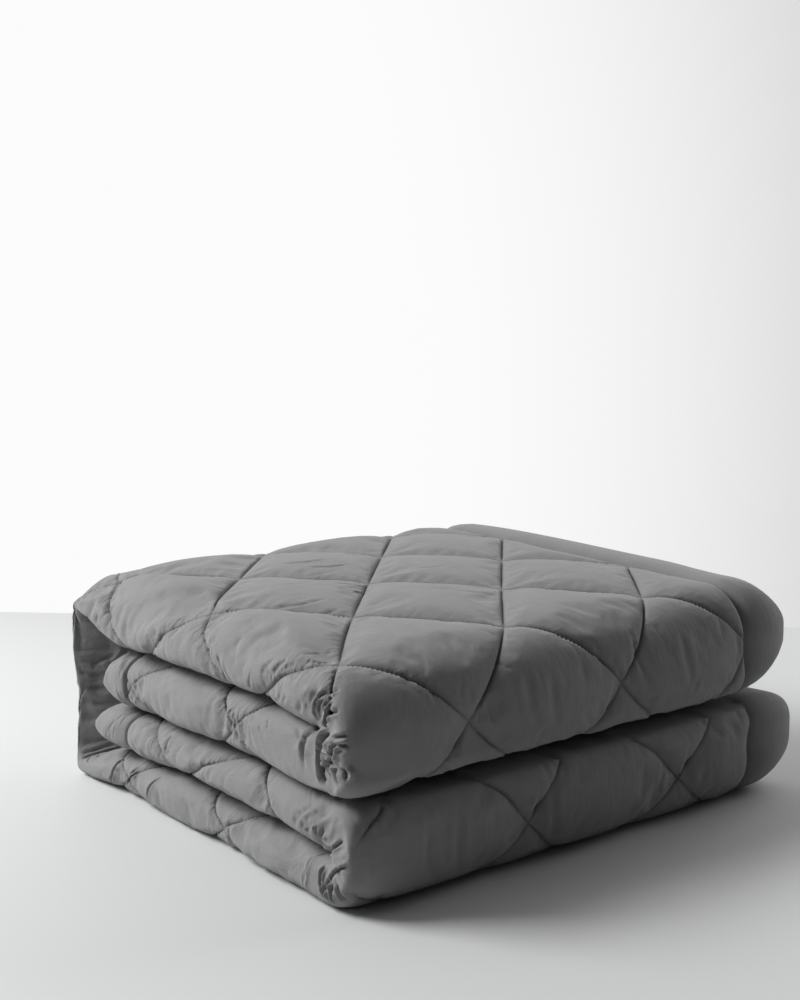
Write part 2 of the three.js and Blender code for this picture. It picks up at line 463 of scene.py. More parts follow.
@dataclass
class StripOutline:
    """Outline of the strip, once round, in cells of one column."""

    quilting: Quilting
    near_round: float = 0.036
    near_flatness: float = 1.13
    near_squareness: float = 0.87
    tight_flatness: float = 0.55
    tight_squareness: float = 0.45
    slide_end: float = 9.0
    slide_fade: float = 6.0
    edge_steps: int = 2
    far_side: tuple[Pair, ...] = (
        (0.032, 0.97),
        (0.062, 0.83),
        (0.088, 0.52),
        (0.077, 0.38),
        (0.056, 0.27),
        (0.074, 0.10),
        (0.084, -0.36),
        (0.068, -0.84),
        (0.034, -1.00),
    )

    def __post_init__(self) -> None:
        """Count the cells of each stretch."""
        flat = int(self.quilting.border_column) - self.edge_steps
        self.cells = {
            Side.OUTER: flat,
            Side.FAR: len(self.far_side) + 1,
            Side.INNER: flat,
            Side.NEAR: 2 * self.edge_steps,
        }
        self.starts: dict[Side, int] = {}
        total = 0
        for side in Side:
            self.starts[side] = total
            total += self.cells[side]
        self.around = total

    def flat_x(self, column: Array | float) -> Array | float:
        """Place of a column on the flat faces."""
        return self.near_round + (column - self.edge_steps) * self.quilting.step_across

    def side_of(self, cell: int) -> Side:
        """Stretch that a cell belongs to."""
        return max((side for side in Side if self.starts[side] <= cell), key=lambda s: s.value)

    def columns(self, k: Array) -> Array:
        """Columns at places round the outline, negative on the inner face.

        Args:
            k: places round the outline, in cells.

        Returns:
            One column for each place.
        """
        border = self.quilting.border_column
        column = np.where(k <= self.starts[Side.FAR], self.edge_steps + k, border)
        column = np.where(k >= self.starts[Side.INNER], k - self.starts[Side.INNER] - border, column)
        return column

    def is_far(self, k: Array) -> Array:
        """Whether places lie beyond the border seam."""
        return (k > self.starts[Side.FAR]) & (k < self.starts[Side.INNER])

    def lying(self, k: Array, slide: Array) -> Array:
        """Columns as they lie, where the fold line slides over the quilting.

        Args:
            k: places round the outline, in cells.
            slide: how far the cloth slides over the near edge, in columns.

        Returns:
            Columns counted from the fold line.
        """
        column = self.columns(k)
        window = smooth((self.slide_end - np.abs(column)) / self.slide_fade)
        return np.where(self.is_far(k), column, column + slide * window)

    def at(self, k: Array, slide: Array, tight: Array) -> tuple[Array, Array, Array]:
        """Outline at places counted in cells from the first outer column.

        Args:
            k: places along the outline.
            slide: how far the cloth slides over the near edge, in columns.
            tight: how square the near edge is, from 0 to 1.

        Returns:
            Column as it lies (negative on the inner face), x from the near edge, and share
            from 1 on the outer face to -1 on the inner one.
        """
        column = self.lying(k, slide)
        x = self.flat_x(np.abs(column))
        share = np.sign(column)
        near = np.abs(column) < self.edge_steps
        angle = column[near] / self.edge_steps * (math.pi / 2.0)
        flatness = self.near_flatness + self.tight_flatness * tight[near]
        squareness = self.near_squareness - self.tight_squareness * tight[near]
        x[near] = self.near_round * (1.0 - np.cos(angle)) ** flatness
        share[near] = np.sign(angle) * np.abs(np.sin(angle)) ** squareness
        far = self.is_far(k)
        far_x, far_share = self._far_at(k[far] - self.starts[Side.FAR])
        x[far] = self.flat_x(self.quilting.border_column) + far_x
        share[far] = far_share
        return column, x, share

    def _far_at(self, place: Array) -> tuple[Array, Array]:
        """Smooth curve through the points of the far side.

        Args:
            place: places in cells from the border seam.

        Returns:
            x beyond the border seam, and share.
        """
        points = np.array(((0.0, 1.0), *self.far_side, (0.0, -1.0)))
        slopes = np.gradient(points, axis=0)
        slopes[0] = (points[1, 0], 0.0)
        slopes[-1] = (-points[-2, 0], 0.0)
        i = np.clip(np.floor(place).astype(int), 0, len(points) - 2)
        t = (place - i)[:, None]
        p0, p1, m0, m1 = points[i], points[i + 1], slopes[i], slopes[i + 1]
        value = (
            p0 * (2 * t**3 - 3 * t**2 + 1)
            + m0 * (t**3 - 2 * t**2 + t)
            + p1 * (-2 * t**3 + 3 * t**2)
            + m1 * (t**3 - t**2)
        )
        return value[:, 0], value[:, 1]


@dataclass
class FoldedStrip:
    """The folded comforter without its puff: where each column and row of the skin lies."""

    section: FoldSection = field(default_factory=FoldSection)
    quilting: Quilting = field(default_factory=Quilting)
    corner: Pair = (-0.32783, -0.264155)
    rows: int = 91
    back_row: float = 40.0
    lower_row: float = 71.0
    lower_shift: float = -0.035
    shift_fade: float = 6.0
    hem_thick: float = 0.024
    hem_taper: float = 0.030
    pinch_columns: float = 7.0
    back_climb: float = 0.105
    back_climb_at: float = 0.500
    far_climb: float = 0.128
    far_climb_at: float = 0.620
    edge_drop_width: float = 0.060
    back_draw: float = 0.016
    back_fill: float = 0.030
    end_draw: float = 0.42
    end_lift: float = 0.016
    near_draw: Pair = (0.003, 0.006)
    front_slip: Pair = (0.011, 0.004)
    edge_lean: float = 0.008
    corner_dip: float = 0.003
    front_dip: float = 0.008
    corner_size: Pair = (0.16, 0.26)
    front_end: float = 0.60
    front_size: Pair = (0.15, 0.18)
    dip_fade: float = 0.05
    slip_columns: Pair = (1.0, 6.0)
    slip_row: float = 22.5
    slip_rows: float = 3.0
    lean_rows: Span = Span(1.0, 2.5, 3.0, 14.0, 3.0)
    lean_columns: Pair = (5.0, 3.0)
    lean_limit: float = 3.0
    square_columns: float = 5.0
    draw_size: Pair = (0.11, 0.14)
    draw_past_back: float = 0.04
    fill_rows: Span = Span(1.0, 39.6, 2.2, 48.0, 2.2)
    fill_start: float = 0.07
    end_margin: float = 0.02
    end_reach: float = 0.115
    end_roll: float = 0.14
    end_back: float = 0.5
    roll_blend: float = 1.6
    near_reach: float = 0.055
    near_roll: float = 0.09
    near_lead: float = 0.04
    rim_rows: Pair = (18.5, 70.5)
    row_shift: tuple[Span, ...] = (
        Span(-0.022, last=17.0, fade_out=5.0),
        Span(0.026, last=3.0, fade_out=3.0),
        Span(0.018, first=73.5, fade_in=3.5),
        Span(-0.026, first=87.0, fade_in=4.0),
        Span(0.066, 41.0, 6.0, 70.0, 7.5),
    )
    edge_slide: tuple[Span, ...] = (
        Span(2.0, last=18.0, fade_out=6.0),
        Span(2.0, 42.0, 6.0, 70.0, 6.0),
        Span(0.5, first=74.0, fade_in=4.0),
        Span(-1.9, 64.0, 4.0, 77.0, 3.0),
    )
    edge_tight: tuple[Span, ...] = (Span(0.85, 12.5, 3.0, 22.5, 3.0), Span(0.45, 64.0, 4.5, 76.0, 4.5))
    lost_upper: Pair = (17.0, 2.6)
    lost_columns: Pair = (2.0, 1.7)
    lost_fade: float = 1.2
    lost_inside: float = 0.4
    lost_lower: Span = Span(1.0, 63.0, 1.6, 74.2, 1.6)
    lost_band: Span = Span(1.0, 39.0, 2.0, 49.0, 2.0)

    def __post_init__(self) -> None:
        """Place the stations of free and pinched skin along the strip."""
        upper, back, lower = self.section.at_upper, self.section.at_back, self.section.at_lower
        self.outline = StripOutline(self.quilting)
        # distance along the outer face, freedom of the skin, pinch of the near edge
        self.stations = np.array(
            (
                (upper - 0.078, 0.0, 0.0),
                (upper - 0.054, 0.5, 0.0),
                (upper, 1.0, 0.0),
                (back - 0.230, 1.0, 0.0),
                (back - 0.090, 0.8, 0.68),
                (back, 0.8, 0.62),
                (back + 0.090, 0.4, 0.55),
                (back + 0.220, 0.0, 0.0),
                (lower - 0.074, 0.0, 0.0),
                (lower - 0.044, 0.7, 0.0),
                (lower + 0.010, 1.0, 0.0),
                (lower + 0.046, 0.5, 0.0),
                (lower + 0.072, 0.0, 0.0),
            )
        )

    def distance_of(self, row: Array) -> Array:
        """Distance along the outer face of each row.

        Args:
            row: rows of the points.

        Returns:
            One distance for each row.
        """
        step = self.quilting.step_along
        first = self.section.at_upper - self.quilting.crossing_row * step
        turn = self.section.at_upper + (self.back_row - self.quilting.crossing_row) * step
        last = self.section.at_lower + (self.rows - self.lower_row) * step
        marks = (0.0, self.back_row, self.lower_row, float(self.rows))
        even = np.interp(row, marks, (first, turn, self.section.at_lower, last))
        return even + sum(span.at(row) for span in self.row_shift)

    def slide_of(self, row: Array) -> Array:
        """How far the cloth slides over the near edge at each row, in columns."""
        return sum(span.at(row) for span in self.edge_slide)

    def tight_of(self, row: Array) -> Array:
        """How square the near edge is at each row: most at the ends of the rolls."""
        return sum(span.at(row) for span in self.edge_tight)

    def lost_seams(self, column: Array, row: Array) -> Array:
        """Where the seams are lost in the gathers, from 0 to 1, by columns as they lie.

        Args:
            column: columns as they lie.
            row: rows of the points.

        Returns:
            One share for each point.
        """
        across = np.abs(column)
        upper = bell(row - self.lost_upper[0], self.lost_upper[1])
        upper = upper * smooth((self.lost_columns[0] - across) / self.lost_fade)
        lower = self.lost_lower.at(row) * smooth(self.lost_columns[1] - across)
        band = self.lost_band.at(row) * smooth(-column - self.lost_inside)
        return np.clip(upper + lower + band, 0.0, 1.0)

    def along(self, s: Array) -> tuple[Array, Array]:
        """How free the outer face is and how thin the near edge is pinched.

        Args:
            s: distances along the outer face.

        Returns:
            Freedom from 0 to 1, and pinch.
        """
        marks, free, pinch = self.stations.T
        i = np.clip(np.searchsorted(marks, s, side="right") - 1, 0, len(marks) - 2)
        part = smooth((s - marks[i]) / (marks[i + 1] - marks[i]))
        return (
            free[i] + (free[i + 1] - free[i]) * part,
            pinch[i] + (pinch[i + 1] - pinch[i]) * part,
        )

    def climb(self, x: Array, y: Array, z: Array) -> Array:
        """Height in the pack, which rises to the back and to the far side.

        Args:
            x: places across.
            y: places in depth.
            z: heights.

        Returns:
            One height for each point.
        """
        upper = self.section.upper
        inward = smooth(x / self.edge_drop_width)
        back = smooth(y / self.back_climb_at) * self.back_climb * inward
        far = np.clip(x / self.far_climb_at, 0.0, 1.0) * self.far_climb
        lifted = smooth((z - upper.bottom) / (upper.top - upper.bottom))
        return z * (1.0 + far) + np.maximum(z, 0.0) * back * lifted

    def dip(self, x: Array, y: Array, z: Array) -> Array:
        """How far the upper roll settles along its front, and most at its near corner.

        Args:
            x: places across.
            y: places in depth.
            z: heights.

        Returns:
            One drop for each point.
        """
        roll = self.section.upper
        depth = y - roll.front
        corner = smooth(1.0 - x / self.corner_size[0]) * smooth(1.0 - depth / self.corner_size[1])
        front = smooth((self.front_end - x) / self.front_size[0]) * smooth(1.0 - depth / self.front_size[1])
        fade = smooth((z - roll.bottom) / self.dip_fade)
        return (self.corner_dip * corner + self.front_dip * front) * fade

    def points(self, k: Array, row: Array) -> Array:
        """Places of skin points on the plain strip.

        Args:
            k: places round the outline, in cells.
            row: rows along the strip.

        Returns:
            One x, y, z for each point, in the frame.
        """
        column, x, share = self.outline.at(k, self.slide_of(row), self.tight_of(row))
        across = np.abs(column)
        slip = np.interp(across, self.slip_columns, self.front_slip)
        slip = slip * bell(row - self.slip_row, self.slip_rows)
        lean = self.lean_rows.at(row) * smooth((self.lean_columns[0] - across) / self.lean_columns[1])
        lean = self.edge_lean * lean * np.clip(1.0 - column, 0.0, self.lean_limit)
        s = self.distance_of(row) - slip + lean
        out_y, out_z, in_y, in_z = self.section.faces_at(s, smooth(1.0 - across / self.square_columns))
        _, pinch = self.along(s)
        ends = self.distance_of(np.array((0.0, float(self.rows))))
        from_end = np.clip(np.minimum(s - ends[0], ends[1] - s) / self.hem_taper, 0.0, 1.0)
        thick = np.hypot(in_y - out_y, in_z - out_z)
        thinnest = self.hem_thick / thick
        taper = thinnest + (1.0 - thinnest) * np.sqrt(1.0 - (1.0 - from_end) ** 2)
        lower = smooth((s - self.section.at_back) / (2.0 * self.quilting.diamond_along) + 0.5)
        room = np.minimum(across - self.outline.edge_steps, self.quilting.border_column - across)
        x = x + self.lower_shift * lower * np.clip(room / self.shift_fade, 0.0, 1.0)
        near = smooth(1.0 - across / self.pinch_columns)
        depth = (1.0 - share * taper) / 2.0 * (1.0 - pinch * near)
        y = out_y + (in_y - out_y) * depth
        z = out_z + (in_z - out_z) * depth
        y, z = self.round_ends(x, y, z, s)
        y = y + self.round_near(x, share, s)
        past_back = s - self.section.at_back - self.draw_past_back
        y = y - self.back_draw * smooth(1.0 - x / self.draw_size[0]) * bell(past_back, self.draw_size[1])
        band = self.fill_rows.at(row) * smooth(x / self.fill_start)
        y = y - self.back_fill * band * (1.0 - share) / 2.0
        z = self.climb(x, y, z) - self.dip(x, y, z)
        return np.stack((x + self.corner[0], y + self.corner[1], z), axis=1)

    def round_ends(self, x: Array, y: Array, z: Array, s: Array) -> tuple[Array, Array]:
        """Draw the rolls in towards their far ends.

        Args:
            x: places across.
            y: places in depth.
            z: heights.
            s: distances along the outer face.

        Returns:
            Drawn-in y and z.
        """
        start = self.outline.flat_x(self.quilting.border_column) - self.end_margin
        reach = np.clip((x - start) / self.end_reach, 0.0, 1.0)
        draw = self.end_draw * (1.0 - np.sqrt(1.0 - reach**2))
        fold = self.section
        for roll, at in ((fold.upper, fold.at_upper), (fold.lower, fold.at_lower)):
            here = smooth(self.roll_blend - np.abs(s - at) / self.end_roll)
            high = smooth((z - roll.bottom) / (roll.top - roll.bottom))
            gap = 1.0 - high if roll is fold.upper else high
            z = z + (roll.middle - z) * draw * here + self.end_lift * reach * gap * here
            y = y + (roll.front + roll.wall - y) * draw * here * self.end_back
        return y, z

    def round_near(self, x: Array, share: Array, s: Array) -> Array:
        """How far the fronts of the rolls draw back towards their near ends.

        Args:
            x: places across.
            share: shares from 1 on the outer face to -1 on the inner one.
            s: distances along the outer face.

        Returns:
            One move in depth for each point.
        """
        reach = np.clip(1.0 - x / self.near_reach, 0.0, 1.0) ** 2 * (1.0 + share) / 2.0
        from_upper = np.abs(s - self.section.at_upper + self.near_lead)
        from_lower = np.abs(s - self.section.at_lower)
        upper = smooth(self.roll_blend - from_upper / self.near_roll)
        lower = smooth(self.roll_blend - from_lower / self.near_roll)
        return reach * (self.near_draw[0] * upper + self.near_draw[1] * lower)


@dataclass
class ComforterSkin:
    """The quilted skin: a closed mesh, fine where it shows, puffed between its seams."""

    strip: FoldedStrip = field(default_factory=FoldedStrip)
    fine: int = 8
    puff_height: float = 0.010
    seam_sink: float = 0.8
    pressed_puff: float = 0.2
    edge_puff: float = 0.75
    border_puff: float = 0.8
    border_sink: float = 0.45
    hem_share: float = 0.6
    plain_puff: float = 0.8
    border_fade: float = 3.0
    hem_fade: float = 1.2
    groove_width: float = 0.25
    groove_shade: float = 0.09
    calm_rows: float = 4.0
    calm_columns: Pair = (7.0, 4.0)
    lost_limit: float = 0.5
    loose_edge: Pair = (1.4, 0.4)
    loose_free: float = 0.5
    far_step: int = 4
    middle_step: int = 2
    open_from: float = 0.12
    back_past: float = 0.06
    back_reach: float = 0.20
    front_rows: Pair = (19.0, 70.0)
    front_reach: float = 5.0
    edge_columns: Pair = (2.3, 3.4)
    back_columns: float = 6.0
    band_row: float = 45.0
    band_reach: float = 4.0
    band_columns: float = 4.2

    def steps_of_cells(self) -> Array:
        """Size of the faces in each cell, in fine steps: 1 where it shows most.

        Returns:
            One size for each cell.
        """
        outline = self.strip.outline
        cells, middle = np.meshgrid(
            np.arange(outline.around) + 0.5, np.arange(self.strip.rows) + 0.5, indexing="ij"
        )
        column = np.abs(outline.lying(cells, self.strip.slide_of(middle)))
        s = self.strip.distance_of(middle)
        free, _ = self.strip.along(s.ravel())
        opens = (free.reshape(s.shape) > self.open_from) & (cells < outline.starts[Side.FAR])
        behind = np.abs(s - self.strip.section.at_back - self.back_past) < self.back_reach
        fronts = np.any([np.abs(middle - row) < self.front_reach for row in self.front_rows], axis=0)
        far = outline.is_far(cells)
        band = (np.abs(middle - self.band_row) < self.band_reach) & (column < self.band_columns)
        band &= cells > outline.starts[Side.INNER]
        finest, fine = self.edge_columns
        steps = np.full(cells.shape, self.fine)
        steps[far] = self.far_step
        back = behind & (opens | (column < self.back_columns))
        steps[(far & fronts) | (column < fine) | back] = self.middle_step
        steps[(column < finest) | (opens & ~behind) | band] = 1
        return steps

    def build_grid(self) -> None:
        """Lay out vertices and faces of the closed skin."""
        outline, n = self.strip.outline, self.fine
        steps = self.steps_of_cells()
        around, rows = outline.around, self.strip.rows
        ids = np.full((around * n, rows * n + 1), -1, dtype=int)
        order: list[tuple[int, int]] = []
        faces: list[list[int]] = []

        def vertex(i: int, j: int) -> int:
            """Number of the vertex at a grid place, made when first used.

            Args:
                i: grid place round the outline.
                j: grid place along the strip.

            Returns:
                Its number.
            """
            i %= around * n
            if ids[i, j] < 0:
                ids[i, j] = len(order)
                order.append((i, j))
            return int(ids[i, j])

        def edge(i: int, j: int, di: int, dj: int, size: int, finer: int) -> list[int]:
            """Vertices of one side of a face, without its last corner."""
            stride = min(size, finer)
            return [vertex(i + di * t, j + dj * t) for t in range(0, size, stride)]

        for k in range(around):
            left, right = steps[k - 1], steps[(k + 1) % around]
            for r in range(rows):
                size = int(steps[k, r])
                below = int(steps[k, r - 1]) if r > 0 else size
                above = int(steps[k, r + 1]) if r + 1 < rows else size
                for a in range(0, n, size):
                    for b in range(0, n, size):
                        i, j = k * n + a, r * n + b
                        low = below if b == 0 else size
                        high = above if b + size == n else size
                        west = int(left[r]) if a == 0 else size
                        east = int(right[r]) if a + size == n else size
                        ring = edge(i, j, 1, 0, size, low)
                        ring += edge(i + size, j, 0, 1, size, east)
                        ring += edge(i + size, j + size, -1, 0, size, high)
                        ring += edge(i, j + size, 0, -1, size, west)
                        faces.extend(self._split(ring, i, j, size))
        faces.extend(self._end_faces(ids, 0))
        faces.extend([face[::-1] for face in self._end_faces(ids, rows * n)])
        self.grid = np.array(order)
        self.faces = faces

    def _split(self, ring: list[int], i: int, j: int, size: int) -> list[list[int]]:
        """One face, or two where a seam runs along a diagonal of it.

        Args:
            ring: vertices round the face.
            i: grid place round the outline.
            j: grid place along the strip.
            size: side of the face, in fine steps.

        Returns:
            The faces.
        """
        quilting, n = self.strip.quilting, self.fine
        outline = self.strip.outline
        if len(ring) != 4 or outline.side_of(i // n) is Side.FAR:
            return [ring]
        first = float(outline.columns(np.array([i / n]))[0])
        second = first + size / n
        a0, b0 = quilting.diagonals(np.array([first, second]), np.array([j / n, j / n]))
        period = quilting.steps * n
        rising = round(float(b0[0]) * period) % period == 0
        falling = round(float(a0[1]) * period) % period == 0
        p, q, r, s = ring
        if rising and not falling:
            return [[p, q, r], [p, r, s]]
        if falling and not rising:
            return [[p, q, s], [q, r, s]]
        return [ring]

    def _end_faces(self, ids: Array, j: int) -> list[list[int]]:
        """Faces that close the strip at its first or last row.

        Args:
            ids: numbers of the vertices on the grid.
            j: grid place along the strip.

        Returns:
            The faces.
        """
        outline, n = self.strip.outline, self.fine
        flat = outline.cells[Side.OUTER]
        outer = outline.starts[Side.OUTER]
        inner_end = outline.starts[Side.NEAR]
        total = outline.around * n

        def stretch(first: int, last: int) -> list[int]:
            """Used vertices of the end row between two grid places."""
            places = [i % total for i in range(first, last + 1)]
            return [int(ids[i, j]) for i in places if ids[i, j] >= 0]

        faces = []
        for step in range(flat):
            top = stretch((outer + step) * n, (outer + step + 1) * n)
            low = stretch((inner_end - step - 1) * n, (inner_end - step) * n)
            faces.append((top + low)[::-1])
        far = stretch(outline.starts[Side.FAR] * n, outline.starts[Side.INNER] * n)
        near = stretch(outline.starts[Side.NEAR] * n, total)
        faces.append(far[::-1])
        faces.append(near[::-1])
        return faces

    def plainness(self, k: Array, row: Array) -> Array:
        """Where the seams are lost in the gathers, from 0 to 1."""
        return self.strip.lost_seams(self.strip.outline.lying(k, self.strip.slide_of(row)), row)

    def relief(self, k: Array, row: Array) -> Array:
        """How far the skin stands out from the plain strip at each point.

        Args:
            k: places round the outline, in cells.
            row: rows of the points.

        Returns:
            One height for each point.
        """
        quilting, outline = self.strip.quilting, self.strip.outline
        sewn = outline.columns(k)
        column, _, share = outline.at(k, self.strip.slide_of(row), self.strip.tight_of(row))
        free, _ = self.strip.along(self.strip.distance_of(row))
        is_far = outline.is_far(k)
        is_outer = column > 0.0
        on_edge = smooth(1.0 - (np.abs(column) - 1.0) / outline.edge_steps)
        open_skin = np.maximum(self.edge_puff * on_edge, np.where(is_outer, free, 0.0))
        puff = quilting.puff(sewn, row)
        puff = puff + (self.plain_puff - puff) * self.plainness(k, row)
        to_border = np.abs(quilting.border_column - sewn)
        at_border = np.sqrt(np.clip(to_border / self.border_fade, 0.0, 1.0))
        puff = np.where(is_outer, np.minimum(puff, at_border), puff)
        beyond = np.clip((k - outline.starts[Side.FAR]) / self.hem_fade, 0.0, 1.0)
        puff = np.where(is_far, self.border_puff * np.sqrt(beyond), puff)
        height = open_skin * (puff - self.seam_sink)
        height += (1.0 - open_skin) * self.pressed_puff * (puff - 1.0)
        height -= self.border_sink * open_skin * self.border_groove(k, self.groove_width)
        lies_on_layer = (np.abs(column) >= outline.edge_steps) & ~(is_outer & (free > 0.0))
        height = np.where(lies_on_layer, np.minimum(height, 0.0), height)
        height = np.where(is_far & (share < self.hem_share), 0.0, height)
        calm = bell(row - self.strip.rim_rows[0], self.calm_rows) * is_outer
        calm = calm * smooth((self.calm_columns[0] - column) / self.calm_columns[1])
        return self.puff_height * height * (1.0 - 0.5 * calm)

    def border_groove(self, k: Array, width: float) -> Array:
        """How close points are to the border seam at the far side, 1 on it."""
        return bell(k - self.strip.outline.starts[Side.FAR], width)

    def openness(self, k: Array, row: Array) -> Array:
        """How free the skin is to swell, 0 where layers lie on each other and 1 outside.

        Args:
            k: places round the outline, in cells.
            row: rows of the points.

        Returns:
            One share for each point.
        """
        outline = self.strip.outline
        column = outline.lying(k, self.strip.slide_of(row))
        free, _ = self.strip.along(self.strip.distance_of(row))
        is_far = outline.is_far(k)
        start, less = self.loose_edge
        on_edge = smooth(1.0 - (np.abs(column) - start) / (outline.edge_steps - less))
        loose = np.maximum(on_edge, np.where(column > 0.0, smooth(free / self.loose_free), 0.0))
        return np.where(is_far, 0.0, loose)

    def write_uv(self, mesh: Mesh, k: Array, row: Array) -> None:
        """Give the mesh the flat cloth's coordinates in metres.

        Args:
            mesh: the skin's mesh.
            k: places of its vertices round the outline.
            row: rows of its vertices.
        """
        outline = self.strip.outline
        half = (outline.starts[Side.INNER] + outline.starts[Side.NEAR]) / 2.0
        u = np.where(k > half, k - outline.around, k) * self.strip.quilting.step_across
        v = row * self.strip.quilting.step_along
        corners = np.zeros(len(mesh.loops), dtype=np.int32)
        mesh.loops.foreach_get("vertex_index", corners)
        layer = mesh.uv_layers.new(name="cloth")
        layer.data.foreach_set("uv", np.stack((u, v), axis=1)[corners].ravel())

    def sharpen(self, mesh: Mesh) -> None:
        """Mark the seams as creases.

        Args:
            mesh: the skin's mesh.
        """
        ends = np.zeros(len(mesh.edges) * 2, dtype=np.int32)
        mesh.edges.foreach_get("vertices", ends)
        ends = ends.reshape(-1, 2)
        sewn = self.strip.outline.columns(self.k)
        seam = self.strip.quilting.on_seam(sewn, self.row) & ~self.strip.outline.is_far(self.k)
        seam &= self.plainness(self.k, self.row) < self.lost_limit
        middle = (self.row[ends[:, 0]] + self.row[ends[:, 1]]) / 2.0
        between = (sewn[ends[:, 0]] + sewn[ends[:, 1]]) / 2.0
        sharp = seam[ends].all(axis=1) & self.strip.quilting.on_seam(between, middle)
        mark = mesh.attributes.new("sharp_edge", "BOOLEAN", "EDGE")
        mark.data.foreach_set("value", sharp)

    def build(self) -> Object:
        """Make the skin's mesh object.

        Returns:
            The object.
        """
        self.build_grid()
        k = self.grid[:, 0] / self.fine
        row = self.grid[:, 1] / self.fine
        points = self.strip.points(k, row)
        mesh = bpy.data.meshes.new("comforter_skin")
        mesh.from_pydata(points.tolist(), [], self.faces)
        mesh.update()
        self.k, self.row = k, row
        self.write_uv(mesh, k, row)
        for name, values in (("column", self.strip.outline.columns(k)), ("row", row)):
            mesh.attributes.new(name, "FLOAT", "POINT").data.foreach_set("value", values)
        # painted shade along the border seam's groove, written into the fold values
        add_values(mesh, "fold", self.border_sink * self.border_groove(k, self.groove_shade))
        points += vertex_normals(mesh) * self.relief(k, row)[:, None]
        set_points(mesh, points)
        mesh.shade_smooth()
        self.sharpen(mesh)
        piece = bpy.data.objects.new("comforter_skin", mesh)
        bpy.context.collection.objects.link(piece)
        log.info("skin: %d vertices, %d faces", len(mesh.vertices), len(mesh.polygons))
        return piece


